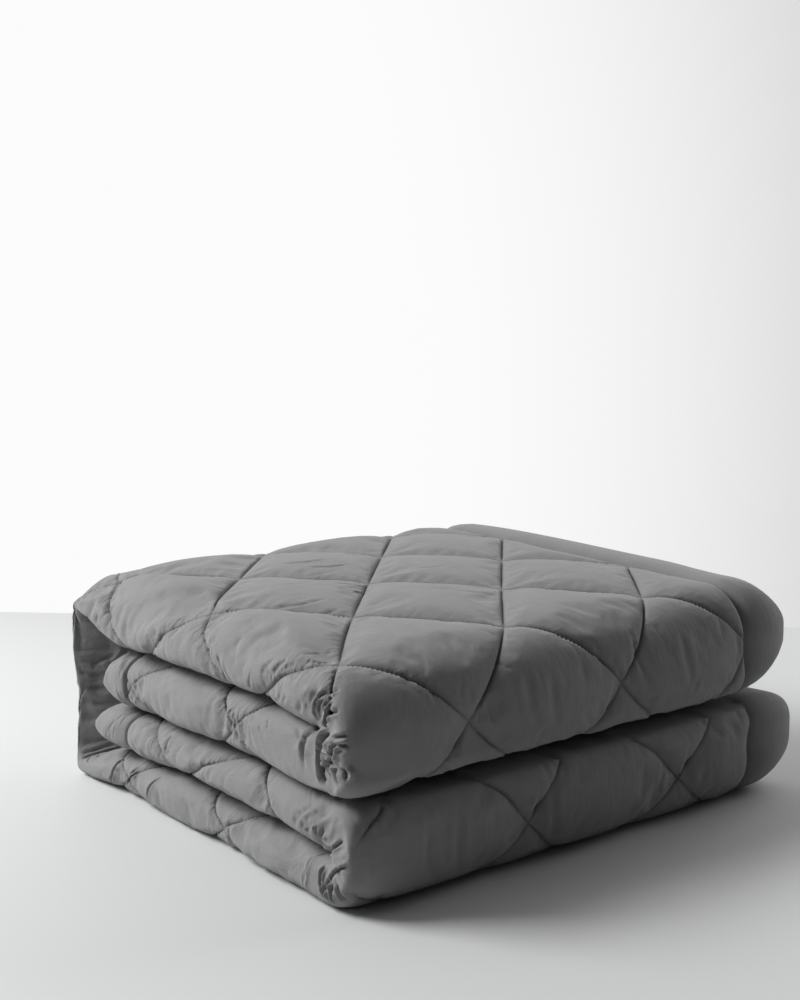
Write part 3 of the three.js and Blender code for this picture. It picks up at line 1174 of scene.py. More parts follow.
@dataclass
class ClothSettle:
    """Cloth run that lets the skin swell and pucker between its fixed seams."""

    frames: int = 20
    quality: int = 5
    pressure: float = 0.9
    growth: Pair = (0.004, 0.048)
    stiffness: float = 30.0
    bending: float = 0.25
    cap: float = 0.0055
    mass: float = 0.15
    air_damping: float = 2.0
    floor_hold: float = 0.004
    fully_held: float = 0.999
    weight_levels: int = 24
    full_base: float = 0.03
    full_seam: float = 0.16
    full_edge: float = 0.26
    full_corner: float = 0.35
    edge_columns: Pair = (1.5, 4.0)
    rim_columns: Pair = (7.0, 3.0)
    corner_columns: Pair = (2.0, 7.0)
    seam_width: float = 0.020
    corner_row: float = 41.0
    rim_cut: float = 0.8
    rim_size: float = 4.0
    uneven: float = 0.45
    uneven_size: float = 0.07
    uneven_seed: int = 3

    def run(self, skin: ComforterSkin, piece: Object) -> None:
        """Settle the open part of the skin and write its new places back.

        Args:
            skin: the skin, for its seams and open stretches.
            piece: the skin's object.
        """
        points = get_points(piece.data)
        quilting = skin.strip.quilting
        sewn = skin.strip.outline.columns(skin.k)
        loose = skin.openness(skin.k, skin.row)
        seam = quilting.on_seam(sewn, skin.row) & (skin.plainness(skin.k, skin.row) < skin.lost_limit)
        fixed = np.where(seam, 1.0, 1.0 - loose)
        fixed = np.where(points[:, 2] < self.floor_hold, 1.0, fixed)
        moving = fixed < self.fully_held
        faces = [face for face in skin.faces if moving[face].any()]
        used = np.unique(np.concatenate([np.array(face) for face in faces]))
        number = np.full(len(points), -1)
        number[used] = np.arange(len(used))
        mesh = bpy.data.meshes.new("settling")
        mesh.from_pydata(points[used].tolist(), [], [number[face].tolist() for face in faces])
        patch = bpy.data.objects.new("settling", mesh)
        bpy.context.collection.objects.link(patch)
        self._weigh(patch, "held", fixed[used])
        self._weigh(patch, "firm", 1.0 - self.fullness(skin, points)[used])
        settled = self._simulate(patch)
        bpy.data.objects.remove(patch)
        bpy.data.meshes.remove(mesh)
        move = settled - points[used]
        far = np.linalg.norm(move, axis=1)
        move *= (self.cap * np.tanh(far / self.cap) / np.maximum(far, 1e-9))[:, None]
        points[used] += move
        set_points(piece.data, points)
        log.info("cloth: %d vertices moved %.1f mm at most", len(used), far.max() * 1000.0)

    def fullness(self, skin: ComforterSkin, points: Array) -> Array:
        """Where the cloth has most to spare: at seams, round the edges and at the back corner.

        Args:
            skin: the skin.
            points: its points.

        Returns:
            Share from 0, taut, to 1, gathered.
        """
        strip = skin.strip
        column = np.abs(strip.outline.lying(skin.k, strip.slide_of(skin.row)))
        edge = smooth(1.0 - (column - self.edge_columns[0]) / self.edge_columns[1])
        seam = bell(strip.quilting.to_seam(strip.outline.columns(skin.k), skin.row), self.seam_width)
        rims = sum(bell(skin.row - row, self.rim_size) for row in strip.rim_rows)
        rims = rims * smooth((self.rim_columns[0] - column) / self.rim_columns[1])
        inward = (column - self.corner_columns[0]) / self.corner_columns[1]
        corner = bell(skin.row - self.corner_row, self.rim_size) * smooth(1.0 - inward)
        full = self.full_base + self.full_seam * seam + self.full_edge * edge
        full = full * (1.0 - self.rim_cut * np.clip(rims, 0.0, 1.0)) + self.full_corner * corner
        uneven = 1.0 + self.uneven * wobble(points, self.uneven_size, self.uneven_seed)
        return np.clip(full * uneven, 0.0, 1.0)

    def _weigh(self, patch: Object, name: str, weights: Array) -> None:
        """Write a vertex group, its weights rounded to a few levels.

        Args:
            patch: the piece of skin that moves.
            name: the group's name.
            weights: one weight for each vertex.
        """
        group = patch.vertex_groups.new(name=name)
        level = np.round(weights * self.weight_levels).astype(int)
        for step in range(1, self.weight_levels + 1):
            chosen = np.nonzero(level == step)[0].tolist()
            if chosen:
                group.add(chosen, step / self.weight_levels, "REPLACE")

    def _simulate(self, patch: Object) -> Array:
        """Run the cloth and read its last frame.

        Args:
            patch: the piece of skin that moves.

        Returns:
            Its settled points.
        """
        cloth = patch.modifiers.new("cloth", "CLOTH")
        settings = cloth.settings
        settings.quality = self.quality
        settings.mass = self.mass
        settings.tension_stiffness = self.stiffness
        settings.compression_stiffness = self.stiffness
        settings.shear_stiffness = self.stiffness / 2.0
        settings.bending_stiffness = self.bending
        settings.air_damping = self.air_damping
        settings.vertex_group_mass = "held"
        settings.use_pressure = True
        settings.uniform_pressure_force = self.pressure
        settings.vertex_group_shrink = "firm"
        settings.shrink_min = -self.growth[1]
        settings.shrink_max = -self.growth[0]
        settings.effector_weights.gravity = 0.0
        cloth.collision_settings.use_collision = False
        cloth.point_cache.frame_start = 1
        cloth.point_cache.frame_end = self.frames
        for number in range(1, self.frames + 1):
            bpy.context.scene.frame_set(number)
        graph = bpy.context.evaluated_depsgraph_get()
        settled = get_points(patch.evaluated_get(graph).to_mesh())
        bpy.context.scene.frame_set(1)
        return settled


@dataclass(frozen=True)
class Crease:
    """One crease: its path in two coordinates, its width and how deep it sinks."""

    path: tuple[Pair, ...]
    width: float
    depth: float
    reach: float = 4.0
    hold: float = 1.3
    taper: float = 3.5
    swell: float = 0.4
    swell_at: float = 2.1
    swell_width: float = 0.9

    def away(self, places: Array, reach: float) -> tuple[Array, Array, Array]:
        """Distances from the crease, of the places around it.

        Args:
            places: two coordinates for each place.
            reach: how far around the crease places are looked at.

        Returns:
            Numbers of these places, their distances, and shares of the crease's length.
        """
        corners = np.array(self.path)
        low, high = corners.min(axis=0) - reach, corners.max(axis=0) + reach
        chosen = np.nonzero(((places > low) & (places < high)).all(axis=1))[0]
        near = places[chosen]
        spans = np.diff(corners, axis=0)
        lengths = np.linalg.norm(spans, axis=1)
        total = lengths.sum()
        best = np.full(len(near), np.inf)
        part = np.zeros(len(near))
        before = 0.0
        for start, span, length in zip(corners[:-1], spans, lengths):
            along = np.clip((near - start) @ span / length**2, 0.0, 1.0)
            away = np.linalg.norm(near - start - along[:, None] * span, axis=1)
            closer = away < best
            best = np.where(closer, away, best)
            part = np.where(closer, (before + along * length) / total, part)
            before += length
        return chosen, best, part

    def sink(self, places: Array) -> Array:
        """How far each place sinks, less the swelling beside the crease.

        Args:
            places: two coordinates for each place.

        Returns:
            One depth for each place.
        """
        sink = np.zeros(len(places))
        chosen, away, part = self.away(places, self.reach * self.width)
        taper = smooth(part * self.taper) * smooth((1.0 - part) * self.taper)
        across = away / self.width
        beside = self.swell * bell(across - self.swell_at, self.swell_width)
        sink[chosen] = self.depth * taper * (bell(across, 1.0) - beside)
        return sink

    def touches(self, places: Array, beyond: float) -> Array:
        """Whether places lie on the crease or a little beyond it.

        Args:
            places: two coordinates for each place.
            beyond: how far beyond the crease.

        Returns:
            One truth value for each place.
        """
        reach = self.hold * self.width + beyond
        touched = np.zeros(len(places), dtype=bool)
        chosen, away, _ = self.away(places, reach)
        touched[chosen] = away < reach
        return touched


@dataclass(frozen=True)
class Stroke:
    """Crease listed one by one: its two ends, its width and depth in millimetres, and its bow to one side.
    """

    start: Pair
    end: Pair
    width: float
    depth: float
    bow: float = 0.0

    def crease(self, scale: Array | float, origin: Pair = (0.0, 0.0), bends: int = 5) -> Crease:
        """Lay the stroke out in metres.

        Args:
            scale: metres in one unit of the ends.
            origin: place that the ends are counted from, in metres.
            bends: straight stretches that make up the bow.

        Returns:
            The crease.
        """
        start, span = np.array(self.start), np.subtract(self.end, self.start)
        aside = np.array((span[1], -span[0]))
        share = np.linspace(0.0, 1.0, bends + 1)[:, None]
        path = start + span * share + aside * (4.0 * self.bow) * share * (1.0 - share)
        return Crease(tuple(map(tuple, path * scale + origin)), self.width / 1000.0, self.depth / 1000.0)


def split_faces(mesh: Mesh, wanted: Array) -> None:
    """Cut every face whose corners are all wanted into four.

    Args:
        mesh: the mesh to refine.
        wanted: one truth value for each vertex.
    """
    shape = bmesh.new()
    shape.from_mesh(mesh)
    edges = set()
    for face in shape.faces:
        if len(face.verts) <= 4 and all(wanted[corner.index] for corner in face.verts):
            edges.update(face.edges)
    bmesh.ops.subdivide_edges(shape, edges=list(edges), cuts=1, use_grid_fill=True)
    shape.to_mesh(mesh)
    shape.free()
    mesh.update()


@dataclass
class Gathers:
    """Tucks at the near ends of the two rolls, laid in depth and height on the near side."""

    near_side: float = -0.285
    upper_knot: Pair = (-0.270, 0.150)
    lower_knot: Pair = (-0.260, 0.030)
    side_fade: float = 0.03
    refined_from: Pair = (0.0003, 0.0012)
    upper: tuple[Stroke, ...] = (
        Stroke((9, 18), (16, -38), 2.8, 12.0, -0.17),
        Stroke((-2, 13), (14, -23), 2.4, 10.0, 0.10),
        Stroke((8, 36), (15, 15), 2.0, 8.0, -0.12),
        Stroke((14, 52), (20, 14), 1.6, 4.5, -0.33),
        Stroke((5, 53), (24, 26), 1.4, 2.2, -0.20),
        Stroke((6, 48), (20, 29), 1.3, 2.0, -0.12),
        Stroke((7, 43), (14, 34), 1.3, 1.8),
        Stroke((11, 29), (-2, 36), 1.6, 4.5),
        Stroke((2, 11), (-17, 16), 1.6, 4.0),
        Stroke((-3, 9), (-17, 12), 1.6, -2.4),
        Stroke((-4, 6), (-18, 8), 1.5, 3.6, -0.07),
        Stroke((-4, 0), (-15, 3), 1.5, 2.2),
        Stroke((-6, -12), (-7, -31), 1.6, 4.0, -0.24),
        Stroke((-3, -4), (9, -31), 1.4, -2.4, -0.25),
        Stroke((3, -14), (4, -31), 1.3, 1.6, -0.15),
        Stroke((-8, -14), (-13, -25), 1.5, 3.2, 0.40),
        Stroke((-6, -10), (-16, -26), 1.4, -2.0, 0.40),
        Stroke((45, 16), (48, -30), 2.6, 2.8, -0.12),
        Stroke((32, 51), (44, 23), 3.6, 2.6, -0.05),
        Stroke((28, 50), (34, 23), 2.6, 2.6, -0.14),
    )
    lower: tuple[Stroke, ...] = (
        Stroke((8, 11), (6, -20), 1.4, 5.6, -0.13),
        Stroke((-10, 11), (8, -16), 1.4, 5.6),
        Stroke((-8, -1), (1, -24), 1.4, -2.2, -0.30),
        Stroke((-7, -2), (-7, -22), 1.6, 4.5, -0.10),
        Stroke((-13, 1), (-22, -17), 1.5, 3.0),
        Stroke((-10, 0), (-16, -20), 1.4, -1.8),
        Stroke((-6, 6), (-28, 20), 1.4, 4.0, 0.04),
        Stroke((-8, 11), (-30, 24), 1.8, -2.0),
        Stroke((1, 26), (-21, 41), 1.4, 4.0),
        Stroke((18, 30), (-4, 27), 2.0, 4.5, -0.16),
        Stroke((6, 48), (17, 30), 1.5, 2.4),
        Stroke((16, 49), (18, 30), 1.5, 2.2, -0.10),
        Stroke((8, 61), (46, 28), 2.2, 1.8, -0.10),
        Stroke((2, 59), (40, 25), 2.0, 2.0, -0.09),
        Stroke((24, 60), (59, 29), 2.2, 1.6, -0.09),
    )

    def creases(self) -> list[Crease]:
        """All tucks, in metres; their ends are counted in millimetres from the knots."""
        laid = [stroke.crease(0.001, self.upper_knot) for stroke in self.upper]
        return laid + [stroke.crease(0.001, self.lower_knot) for stroke in self.lower]

    def depths(self, points: Array) -> Array:
        """How far each point sinks."""
        side = smooth((self.near_side - points[:, 0]) / self.side_fade)
        return side * sum(crease.sink(points[:, 1:]) for crease in self.creases())

    def apply(self, piece: Object) -> None:
        """Refine the skin round the tucks, sink them into it, and paint shade into them.

        Args:
            piece: the skin's object.
        """
        mesh = piece.data
        for least in self.refined_from:
            split_faces(mesh, np.abs(self.depths(get_points(mesh))) > least)
        points = get_points(mesh)
        sink = self.depths(points)
        points -= vertex_normals(mesh) * sink[:, None]
        set_points(mesh, points)
        # painted shade in the tucks
        add_values(mesh, "fold", np.clip(sink / FOLD_FOR_FULL_SHADE, 0.0, 1.0))


@dataclass(frozen=True)
class Spread:
    """Ranges that loosely spread creases are drawn from, with width and depth in millimetres."""

    length: Pair
    lean: float
    width: Pair
    depth: Pair

    def draw(self, source: np.random.Generator) -> tuple[float, float, float, float]:
        """Draw the length, lean, width and depth of one crease."""
        length, lean = source.uniform(*self.length), source.normal(0.0, self.lean)
        return length, lean, source.uniform(*self.width), source.uniform(*self.depth)


@dataclass
class Wrinkles:
    """Creases laid on the flat sheet: listed on the panels, loosely spread round the edges."""

    strip: FoldedStrip
    seed: int = 11
    bow: float = 0.10
    narrow: float = 0.0028
    narrow_beyond: float = 0.001
    sharp_beyond: Pair = (0.0045, 0.0018)
    shows_from: float = 0.2
    seam_shade: float = 0.45
    shade_width: float = 0.0016
    shade_uneven: float = 0.4
    shade_size: float = 0.05
    shade_seed: int = 8
    slack_width: float = 0.016
    slack_edge: Pair = (0.12, 0.80)
    slack_seam: float = 0.28
    rim_size: Pair = (4.5, 2.0)
    edge_rows: tuple[Pair, ...] = ((3.0, 15.0), (26.6, 38.5), (54.0, 63.8), (77.0, 87.0))
    front_rows: tuple[tuple[float, float, int], ...] = ((15.5, 21.0, 34), (66.5, 73.0, 40))
    front_columns: Pair = (3.5, 21.0)
    edge_spread: Spread = Spread((0.9, 2.1), 0.35, (2.4, 4.2), (0.5, 1.3))
    edge_start: Pair = (0.5, 2.0)
    edge_gap: Pair = (0.35, 0.75)
    edge_gap_at_seam: float = 0.7
    edge_gap_growth: float = 0.040
    edge_depth: Pair = (0.40, 0.9)
    edge_seam_width: float = 0.025
    front_spread: Spread = Spread((0.5, 1.3), 0.25, (2.2, 3.6), (0.5, 1.3))
    front_seam_width: float = 0.014
    slack_columns: Pair = (3.4, 2.4)
    shows_columns: Pair = (4.5, 1.5)
    shows_free: float = 0.4
    # soft creases: column and row of both ends, width and depth in millimetres
    panel: tuple[CreaseRow, ...] = (
        (3.9, 29.4, 6.2, 28.8, 2.3, 1.6),
        (4.0, 28.4, 6.1, 27.7, 2.2, 1.4),
        (7.6, 31.0, 10.1, 30.4, 2.3, 1.6),
        (7.2, 30.2, 9.4, 29.5, 2.2, 1.0),
        (8.1, 35.1, 10.5, 34.4, 2.3, 1.6),
        (8.6, 33.9, 10.8, 33.2, 2.2, 1.6),
        (7.8, 33.4, 9.8, 32.7, 2.2, 0.6),
        (10.2, 27.6, 12.4, 26.8, 2.3, 0.7),
        (10.8, 26.8, 13.0, 26.0, 2.2, 0.6),
        (12.2, 31.0, 14.4, 30.3, 2.3, 0.7),
        (5.4, 31.6, 7.2, 31.2, 2.2, 0.6),
        (12.8, 34.2, 14.8, 33.6, 2.2, 0.6),
        (6.4, 19.6, 7.0, 18.0, 2.8, 1.8),
        (6.8, 19.9, 7.5, 18.4, 2.8, 1.6),
        (5.6, 18.8, 5.2, 17.6, 2.8, 1.6),
        (8.8, 20.4, 9.2, 18.0, 4.5, 1.4),
        (10.0, 20.2, 10.2, 17.8, 4.2, 1.2),
        (14.4, 19.7, 15.0, 18.1, 2.8, 1.8),
        (14.9, 19.9, 15.6, 18.5, 2.8, 1.5),
        (13.5, 18.9, 13.1, 17.7, 3.0, 1.6),
        (17.6, 20.6, 17.9, 18.2, 4.5, 1.4),
        (10.4, 72.2, 10.9, 70.2, 3.4, 1.8),
        (11.2, 72.4, 11.5, 70.0, 3.6, 1.6),
        (5.4, 72.2, 5.9, 69.8, 3.6, 2.0),
        (6.6, 72.4, 7.0, 69.6, 3.4, 1.8),
        (18.4, 72.2, 18.8, 70.2, 3.4, 1.6),
        (0.2, 39.7, 1.2, 39.3, 3.0, 2.4),
        (0.5, 39.3, 1.9, 39.1, 3.0, 2.6),
        (2.5, 39.2, 0.9, 36.9, 3.2, 2.8),
        (1.4, 38.2, 0.2, 36.9, 3.0, 2.0),
        (0.4, 38.4, -0.5, 37.6, 2.8, 2.0),
        (0.6, 35.8, -0.4, 35.1, 3.0, 2.2),
        (-0.8, 42.7, -2.3, 42.6, 2.8, 2.4),
        (-0.9, 43.1, -2.4, 42.9, 2.6, 2.0),
        (-0.9, 43.4, -2.8, 43.5, 3.0, 2.6),
        (-1.2, 43.9, -3.0, 44.0, 3.2, 2.6),
        (-1.4, 44.5, -3.0, 44.4, 2.8, 2.2),
        (-1.7, 45.1, -3.4, 45.2, 3.2, 2.6),
        (-2.0, 45.7, -3.4, 45.7, 2.8, 2.0),
        (-2.2, 46.3, -3.9, 46.1, 3.6, 3.2),
        (-1.1, 43.2, -2.8, 42.3, 3.6, -2.4),
    )
    # sharp folds: ends in columns and rows
    folds: tuple[Stroke, ...] = (
        Stroke((0.2, 25.1), (1.2, 24.6), 1.7, 1.3),
        Stroke((0.4, 24.8), (1.0, 24.5), 1.6, -0.5),
        Stroke((-0.6, 26.4), (0.2, 26.1), 1.6, 0.9),
        Stroke((0.1, 25.6), (1.0, 25.1), 2.2, 0.8),
        Stroke((1.5, 24.3), (2.7, 23.8), 1.5, 0.4),
        Stroke((1.4, 23.9), (2.0, 23.4), 1.3, 0.3),
        Stroke((-0.8, 25.0), (-0.2, 24.5), 2.2, 0.8),
        Stroke((-0.6, 24.5), (-0.1, 24.2), 2.0, 0.7),
        Stroke((-0.7, 23.8), (0.3, 23.0), 2.6, 1.2),
        Stroke((0.5, 28.4), (-0.9, 28.3), 1.6, 1.2, -0.08),
        Stroke((0.2, 28.0), (-0.7, 27.7), 1.4, -0.8, -0.08),
        Stroke((-2.3, 10.6), (-2.9, 11.0), 1.3, 1.1, -0.25),
        Stroke((-2.0, 10.8), (-2.8, 11.1), 1.3, 1.2),
        Stroke((-2.0, 11.0), (-2.4, 11.2), 1.3, 0.8),
        Stroke((-1.7, 12.0), (-2.2, 11.7), 1.4, 1.2),
        Stroke((-2.1, 12.5), (-2.4, 12.2), 1.4, 0.8),
        Stroke((-2.0, 12.9), (-2.4, 12.5), 1.4, 0.9),
        Stroke((-2.1, 13.8), (-2.6, 13.7), 1.7, 1.0),
        Stroke((-2.1, 13.3), (-2.4, 13.2), 1.4, 0.6),
        Stroke((-0.9, 15.6), (-2.1, 15.1), 2.4, 1.0, 0.12),
        Stroke((-2.4, 47.4), (-2.8, 46.6), 1.5, 1.6),
        Stroke((-2.9, 47.4), (-3.3, 46.0), 1.6, 2.2, 0.18),
        Stroke((-1.3, 49.0), (-3.3, 49.8), 1.6, 3.2, 0.18),
        Stroke((-0.9, 48.8), (-1.8, 49.7), 1.4, 1.6),
        Stroke((-1.3, 50.6), (-2.8, 51.8), 1.5, 2.6, -0.04),
        Stroke((-2.3, 51.1), (-3.2, 51.6), 1.4, 1.6, 0.08),
        Stroke((-1.4, 52.8), (-3.1, 54.0), 1.6, 3.0),
        Stroke((-1.3, 53.0), (-0.9, 52.9), 2.0, 3.0),
        Stroke((-0.5, 84.0), (0.8, 84.3), 1.5, 1.4),
    )

    def sheet_scale(self) -> Array:
        """Metres in one column and in one row."""
        return np.array((self.strip.quilting.step_across, self.strip.quilting.step_along))

    def sharp_creases(self) -> list[Crease]:
        """The sharp folds, in metres on the sheet."""
        return [stroke.crease(self.sheet_scale()) for stroke in self.folds]

    def soft_creases(self) -> list[Crease]:
        """The soft creases, in metres on the sheet."""
        rows = (*self.panel, *self._edges(), *self._fronts())
        strokes = [Stroke(row[0:2], row[2:4], *row[4:], self.bow) for row in rows]
        return [stroke.crease(self.sheet_scale(), bends=2) for stroke in strokes]

    def _edges(self) -> list[CreaseRow]:
        """Creases that run round the near edge, closest together beside the seams.

        Returns:
            One row for each crease.
        """
        source = np.random.default_rng(self.seed)
        quilting = self.strip.quilting
        laid = []
        for first, last in self.edge_rows:
            row = first
            while row < last:
                slide = float(self.strip.slide_of(np.array([row]))[0])
                away = float(quilting.to_seam(np.array([-slide]), np.array([row]))[0])
                top = source.uniform(*self.edge_start) - slide
                length, lean, width, depth = self.edge_spread.draw(source)
                depth *= self.edge_depth[0] + self.edge_depth[1] * math.exp(-away / self.edge_seam_width)
                laid.append((top, row, top - length, row + lean, width, depth))
                row += source.uniform(*self.edge_gap) * (self.edge_gap_at_seam + away / self.edge_gap_growth)
        return laid

    def _fronts(self) -> list[CreaseRow]:
        """Short creases that run down the fronts of the rolls, close to the seams.

        Returns:
            One row for each crease.
        """
        source = np.random.default_rng(self.seed + 1)
        quilting = self.strip.quilting
        laid = []
        for first, last, wanted in self.front_rows:
            while wanted > 0:
                column, row = source.uniform(*self.front_columns), source.uniform(first, last)
                away = float(quilting.to_seam(np.array([column]), np.array([row]))[0])
                if source.uniform() > math.exp(-away / self.front_seam_width):
                    continue
                length, lean, width, depth = self.front_spread.draw(source)
                laid.append((column, row + length / 2.0, column + lean, row - length / 2.0, width, depth))
                wanted -= 1
        return laid

    def apply(self, piece: Object) -> None:
        """Refine the skin along the creases, sink them into it, and paint shade into the sharp folds and
        along the seams.

        Args:
            piece: the skin's object.
        """
        mesh = piece.data
        soft, sharp = self.soft_creases(), self.sharp_creases()
        narrow = self._touched(mesh, [c for c in soft if c.width < self.narrow], self.narrow_beyond)
        split_faces(mesh, narrow | self._touched(mesh, sharp, self.sharp_beyond[0]))
        split_faces(mesh, self._touched(mesh, sharp, self.sharp_beyond[1]))
        fold = self._depths(mesh, sharp)
        sink = self._depths(mesh, soft) + fold
        points = get_points(mesh)
        points -= vertex_normals(mesh) * sink[:, None]
        set_points(mesh, points)
        # painted shade in the sharp folds
        add_values(mesh, "fold", np.clip(fold / FOLD_FOR_FULL_SHADE, 0.0, 1.0))
        add_values(mesh, "slack", self._slack(mesh))
        # painted shade along the seams, a little uneven in strength
        column, row = get_values(mesh, "column"), get_values(mesh, "row")
        seam = bell(self.strip.quilting.to_seam(column, row), self.shade_width)
        seam *= 1.0 - self.strip.lost_seams(column + self.strip.slide_of(row), row)
        seam *= column < self.strip.quilting.border_column
        uneven = 1.0 + self.shade_uneven * wobble(points, self.shade_size, self.shade_seed)
        add_values(mesh, "fold", self.seam_shade * seam * uneven)
        log.info("wrinkles: %d", len(soft) + len(sharp))

    def _slack(self, mesh: Mesh) -> Array:
        """Where the cloth is loose enough for fine wrinkles: round the near edge and beside seams.

        Args:
            mesh: the skin's mesh.

        Returns:
            One share for each vertex.
        """
        quilting = self.strip.quilting
        column, row = get_values(mesh, "column"), get_values(mesh, "row")
        lying = np.abs(column + self.strip.slide_of(row))
        seam = bell(quilting.to_seam(column, row), self.slack_width) * (column < quilting.border_column)
        edge = smooth((self.slack_columns[0] - lying) / self.slack_columns[1])
        reach, fade = self.rim_size
        rims = np.max([smooth((reach - np.abs(row - rim)) / fade) for rim in self.strip.rim_rows], axis=0)
        base, at_seam = self.slack_edge
        return edge * (base + at_seam * seam) * (1.0 - rims) + self.slack_seam * seam

    def _touched(self, mesh: Mesh, creases: list[Crease], beyond: float) -> Array:
        """Which vertices lie on a crease that shows, or a little beyond it.

        Args:
            mesh: the skin's mesh.
            creases: the creases.
            beyond: how far beyond them.

        Returns:
            One truth value for each vertex.
        """
        places, shows = self._places(mesh)
        touched = np.any([crease.touches(places, beyond) for crease in creases], axis=0)
        return (shows > self.shows_from) & touched

    def _depths(self, mesh: Mesh, creases: list[Crease]) -> Array:
        """How far each vertex sinks.

        Args:
            mesh: the skin's mesh.
            creases: all creases.

        Returns:
            Depths in metres.
        """
        places, shows = self._places(mesh)
        return shows * sum(crease.sink(places) for crease in creases)

    def _places(self, mesh: Mesh) -> tuple[Array, Array]:
        """Where the vertices lie on the flat sheet.

        Args:
            mesh: the skin's mesh.

        Returns:
            Their places in metres, and how far they show, from 0 to 1.
        """
        quilting = self.strip.quilting
        column, row = get_values(mesh, "column"), get_values(mesh, "row")
        places = np.stack((column * quilting.step_across, row * quilting.step_along), axis=1)
        lying = np.abs(column + self.strip.slide_of(row))
        free, _ = self.strip.along(self.strip.distance_of(row))
        outside = np.where(column > 0.0, smooth(free / self.shows_free), 0.0)
        round_edge = smooth((self.shows_columns[0] - lying) / self.shows_columns[1])
        return places, np.maximum(round_edge, outside)


@dataclass(frozen=True)
class FabricFinish:
    """Dark grey brushed fabric with a fine weave and faint rumples, darkened by painted shade in folds,
    tucks and seams.
    """

    colour: Triple = (0.215, 0.215, 0.215)
    worn: Triple = (0.238, 0.238, 0.238)
    roughness: float = 0.88
    specular: float = 0.25
    sheen: float = 0.22
    sheen_roughness: float = 0.45
    thread: float = 0.0011
    # painted shade: how dark the cloth is painted at a full fold
    painted_fold_shade: float = 0.30
    worn_from: Pair = (0.3, 0.7)
    rumple: Triple = (1.0, 0.32, 170.0)
    cloud: Triple = (1.0, 1.0, 38.0)
    tuck: Triple = (0.24, 1.0, 125.0)
    tuck_bump: Pair = (0.9, 0.0045)
    rumple_bump: Pair = (0.42, 0.0016)
    weave_bump: Pair = (0.30, 0.0004)
    noise_detail: float = 3.0
    noise_distortion: float = 0.5

    def material(self) -> bpy.types.Material:
        """Build the fabric's material.

        Returns:
            The material.
        """
        made = bpy.data.materials.new("grey_fabric")
        made.use_nodes = True
        tree = made.node_tree
        shader = tree.nodes["Principled BSDF"]
        shader.inputs["Roughness"].default_value = self.roughness
        shader.inputs["Specular IOR Level"].default_value = self.specular
        shader.inputs["Sheen Weight"].default_value = self.sheen
        shader.inputs["Sheen Roughness"].default_value = self.sheen_roughness
        sheet = tree.nodes.new("ShaderNodeUVMap")
        sheet.uv_map = "cloth"
        tucks = self._product(tree, self._noise(tree, sheet, self.tuck), self._value(tree, "slack"))
        loose = self._bump(tree, tucks, self.tuck_bump)
        soft = self._bump(tree, self._noise(tree, sheet, self.rumple), self.rumple_bump)
        fine = self._bump(tree, self._weave(tree, sheet), self.weave_bump)
        tree.links.new(loose.outputs["Normal"], soft.inputs["Normal"])
        tree.links.new(soft.outputs["Normal"], fine.inputs["Normal"])
        tree.links.new(fine.outputs["Normal"], shader.inputs["Normal"])
        clouds = self._noise(tree, sheet, self.cloud)
        cloth = self._ramp(tree, clouds, (self.colour, self.worn), self.worn_from)
        # painted shade: where the fold values are high the cloth's colour is darkened, in creases, tucks,
        # seams and the border groove
        shades = ((1.0, 1.0, 1.0), (self.painted_fold_shade, self.painted_fold_shade, self.painted_fold_shade))
        shade = self._ramp(tree, self._value(tree, "fold"), shades, (0.0, 1.0))
        blend = tree.nodes.new("ShaderNodeMixRGB")
        blend.blend_type = "MULTIPLY"
        blend.inputs["Fac"].default_value = 1.0
        tree.links.new(cloth, blend.inputs["Color1"])
        tree.links.new(shade, blend.inputs["Color2"])
        tree.links.new(blend.outputs["Color"], shader.inputs["Base Color"])
        return made

    def _value(self, tree: Tree, name: str) -> Socket:
        """Read one of the skin's own values."""
        node = tree.nodes.new("ShaderNodeAttribute")
        node.attribute_name = name
        return node.outputs["Fac"]

    def _product(self, tree: Tree, first: Socket, second: Socket) -> Socket:
        """Multiply two values.

        Args:
            tree: the material's nodes.
            first: the first value.
            second: the second value.

        Returns:
            Their product.
        """
        node = tree.nodes.new("ShaderNodeMath")
        node.operation = "MULTIPLY"
        tree.links.new(first, node.inputs[0])
        tree.links.new(second, node.inputs[1])
        return node.outputs["Value"]

    def _ramp(self, tree: Tree, value: Socket, colours: tuple[Triple, Triple], places: Pair) -> Socket:
        """Turn a value into a run between two colours.

        Args:
            tree: the material's nodes.
            value: the value.
            colours: the colours of the two ends.
            places: the values at the two ends.

        Returns:
            The colour.
        """
        node = tree.nodes.new("ShaderNodeValToRGB")
        for element, colour, place in zip(node.color_ramp.elements, colours, places):
            element.position = place
            element.color = (*colour, 1.0)
        tree.links.new(value, node.inputs["Fac"])
        return node.outputs["Color"]

    def _noise(self, tree: Tree, sheet: Node, grain: Triple) -> Socket:
        """Add a noise over the sheet.

        Args:
            tree: the material's nodes.
            sheet: the sheet's coordinates.
            grain: stretch along each coordinate, and scale per metre.

        Returns:
            The noise's value.
        """
        place = tree.nodes.new("ShaderNodeMapping")
        place.inputs["Scale"].default_value = (grain[0], grain[1], 1.0)
        noise = tree.nodes.new("ShaderNodeTexNoise")
        noise.inputs["Scale"].default_value = grain[2]
        noise.inputs["Detail"].default_value = self.noise_detail
        noise.inputs["Distortion"].default_value = self.noise_distortion
        tree.links.new(sheet.outputs["UV"], place.inputs["Vector"])
        tree.links.new(place.outputs["Vector"], noise.inputs["Vector"])
        return noise.outputs["Fac"]

    def _weave(self, tree: Tree, sheet: Node) -> Socket:
        """Add the crossing threads.

        Args:
            tree: the material's nodes.
            sheet: the sheet's coordinates.

        Returns:
            The weave's height.
        """
        bands = []
        for direction in ("X", "Y"):
            wave = tree.nodes.new("ShaderNodeTexWave")
            wave.bands_direction = direction
            wave.inputs["Scale"].default_value = math.pi / (10.0 * self.thread)
            tree.links.new(sheet.outputs["UV"], wave.inputs["Vector"])
            bands.append(wave.outputs["Fac"])
        return self._product(tree, *bands)

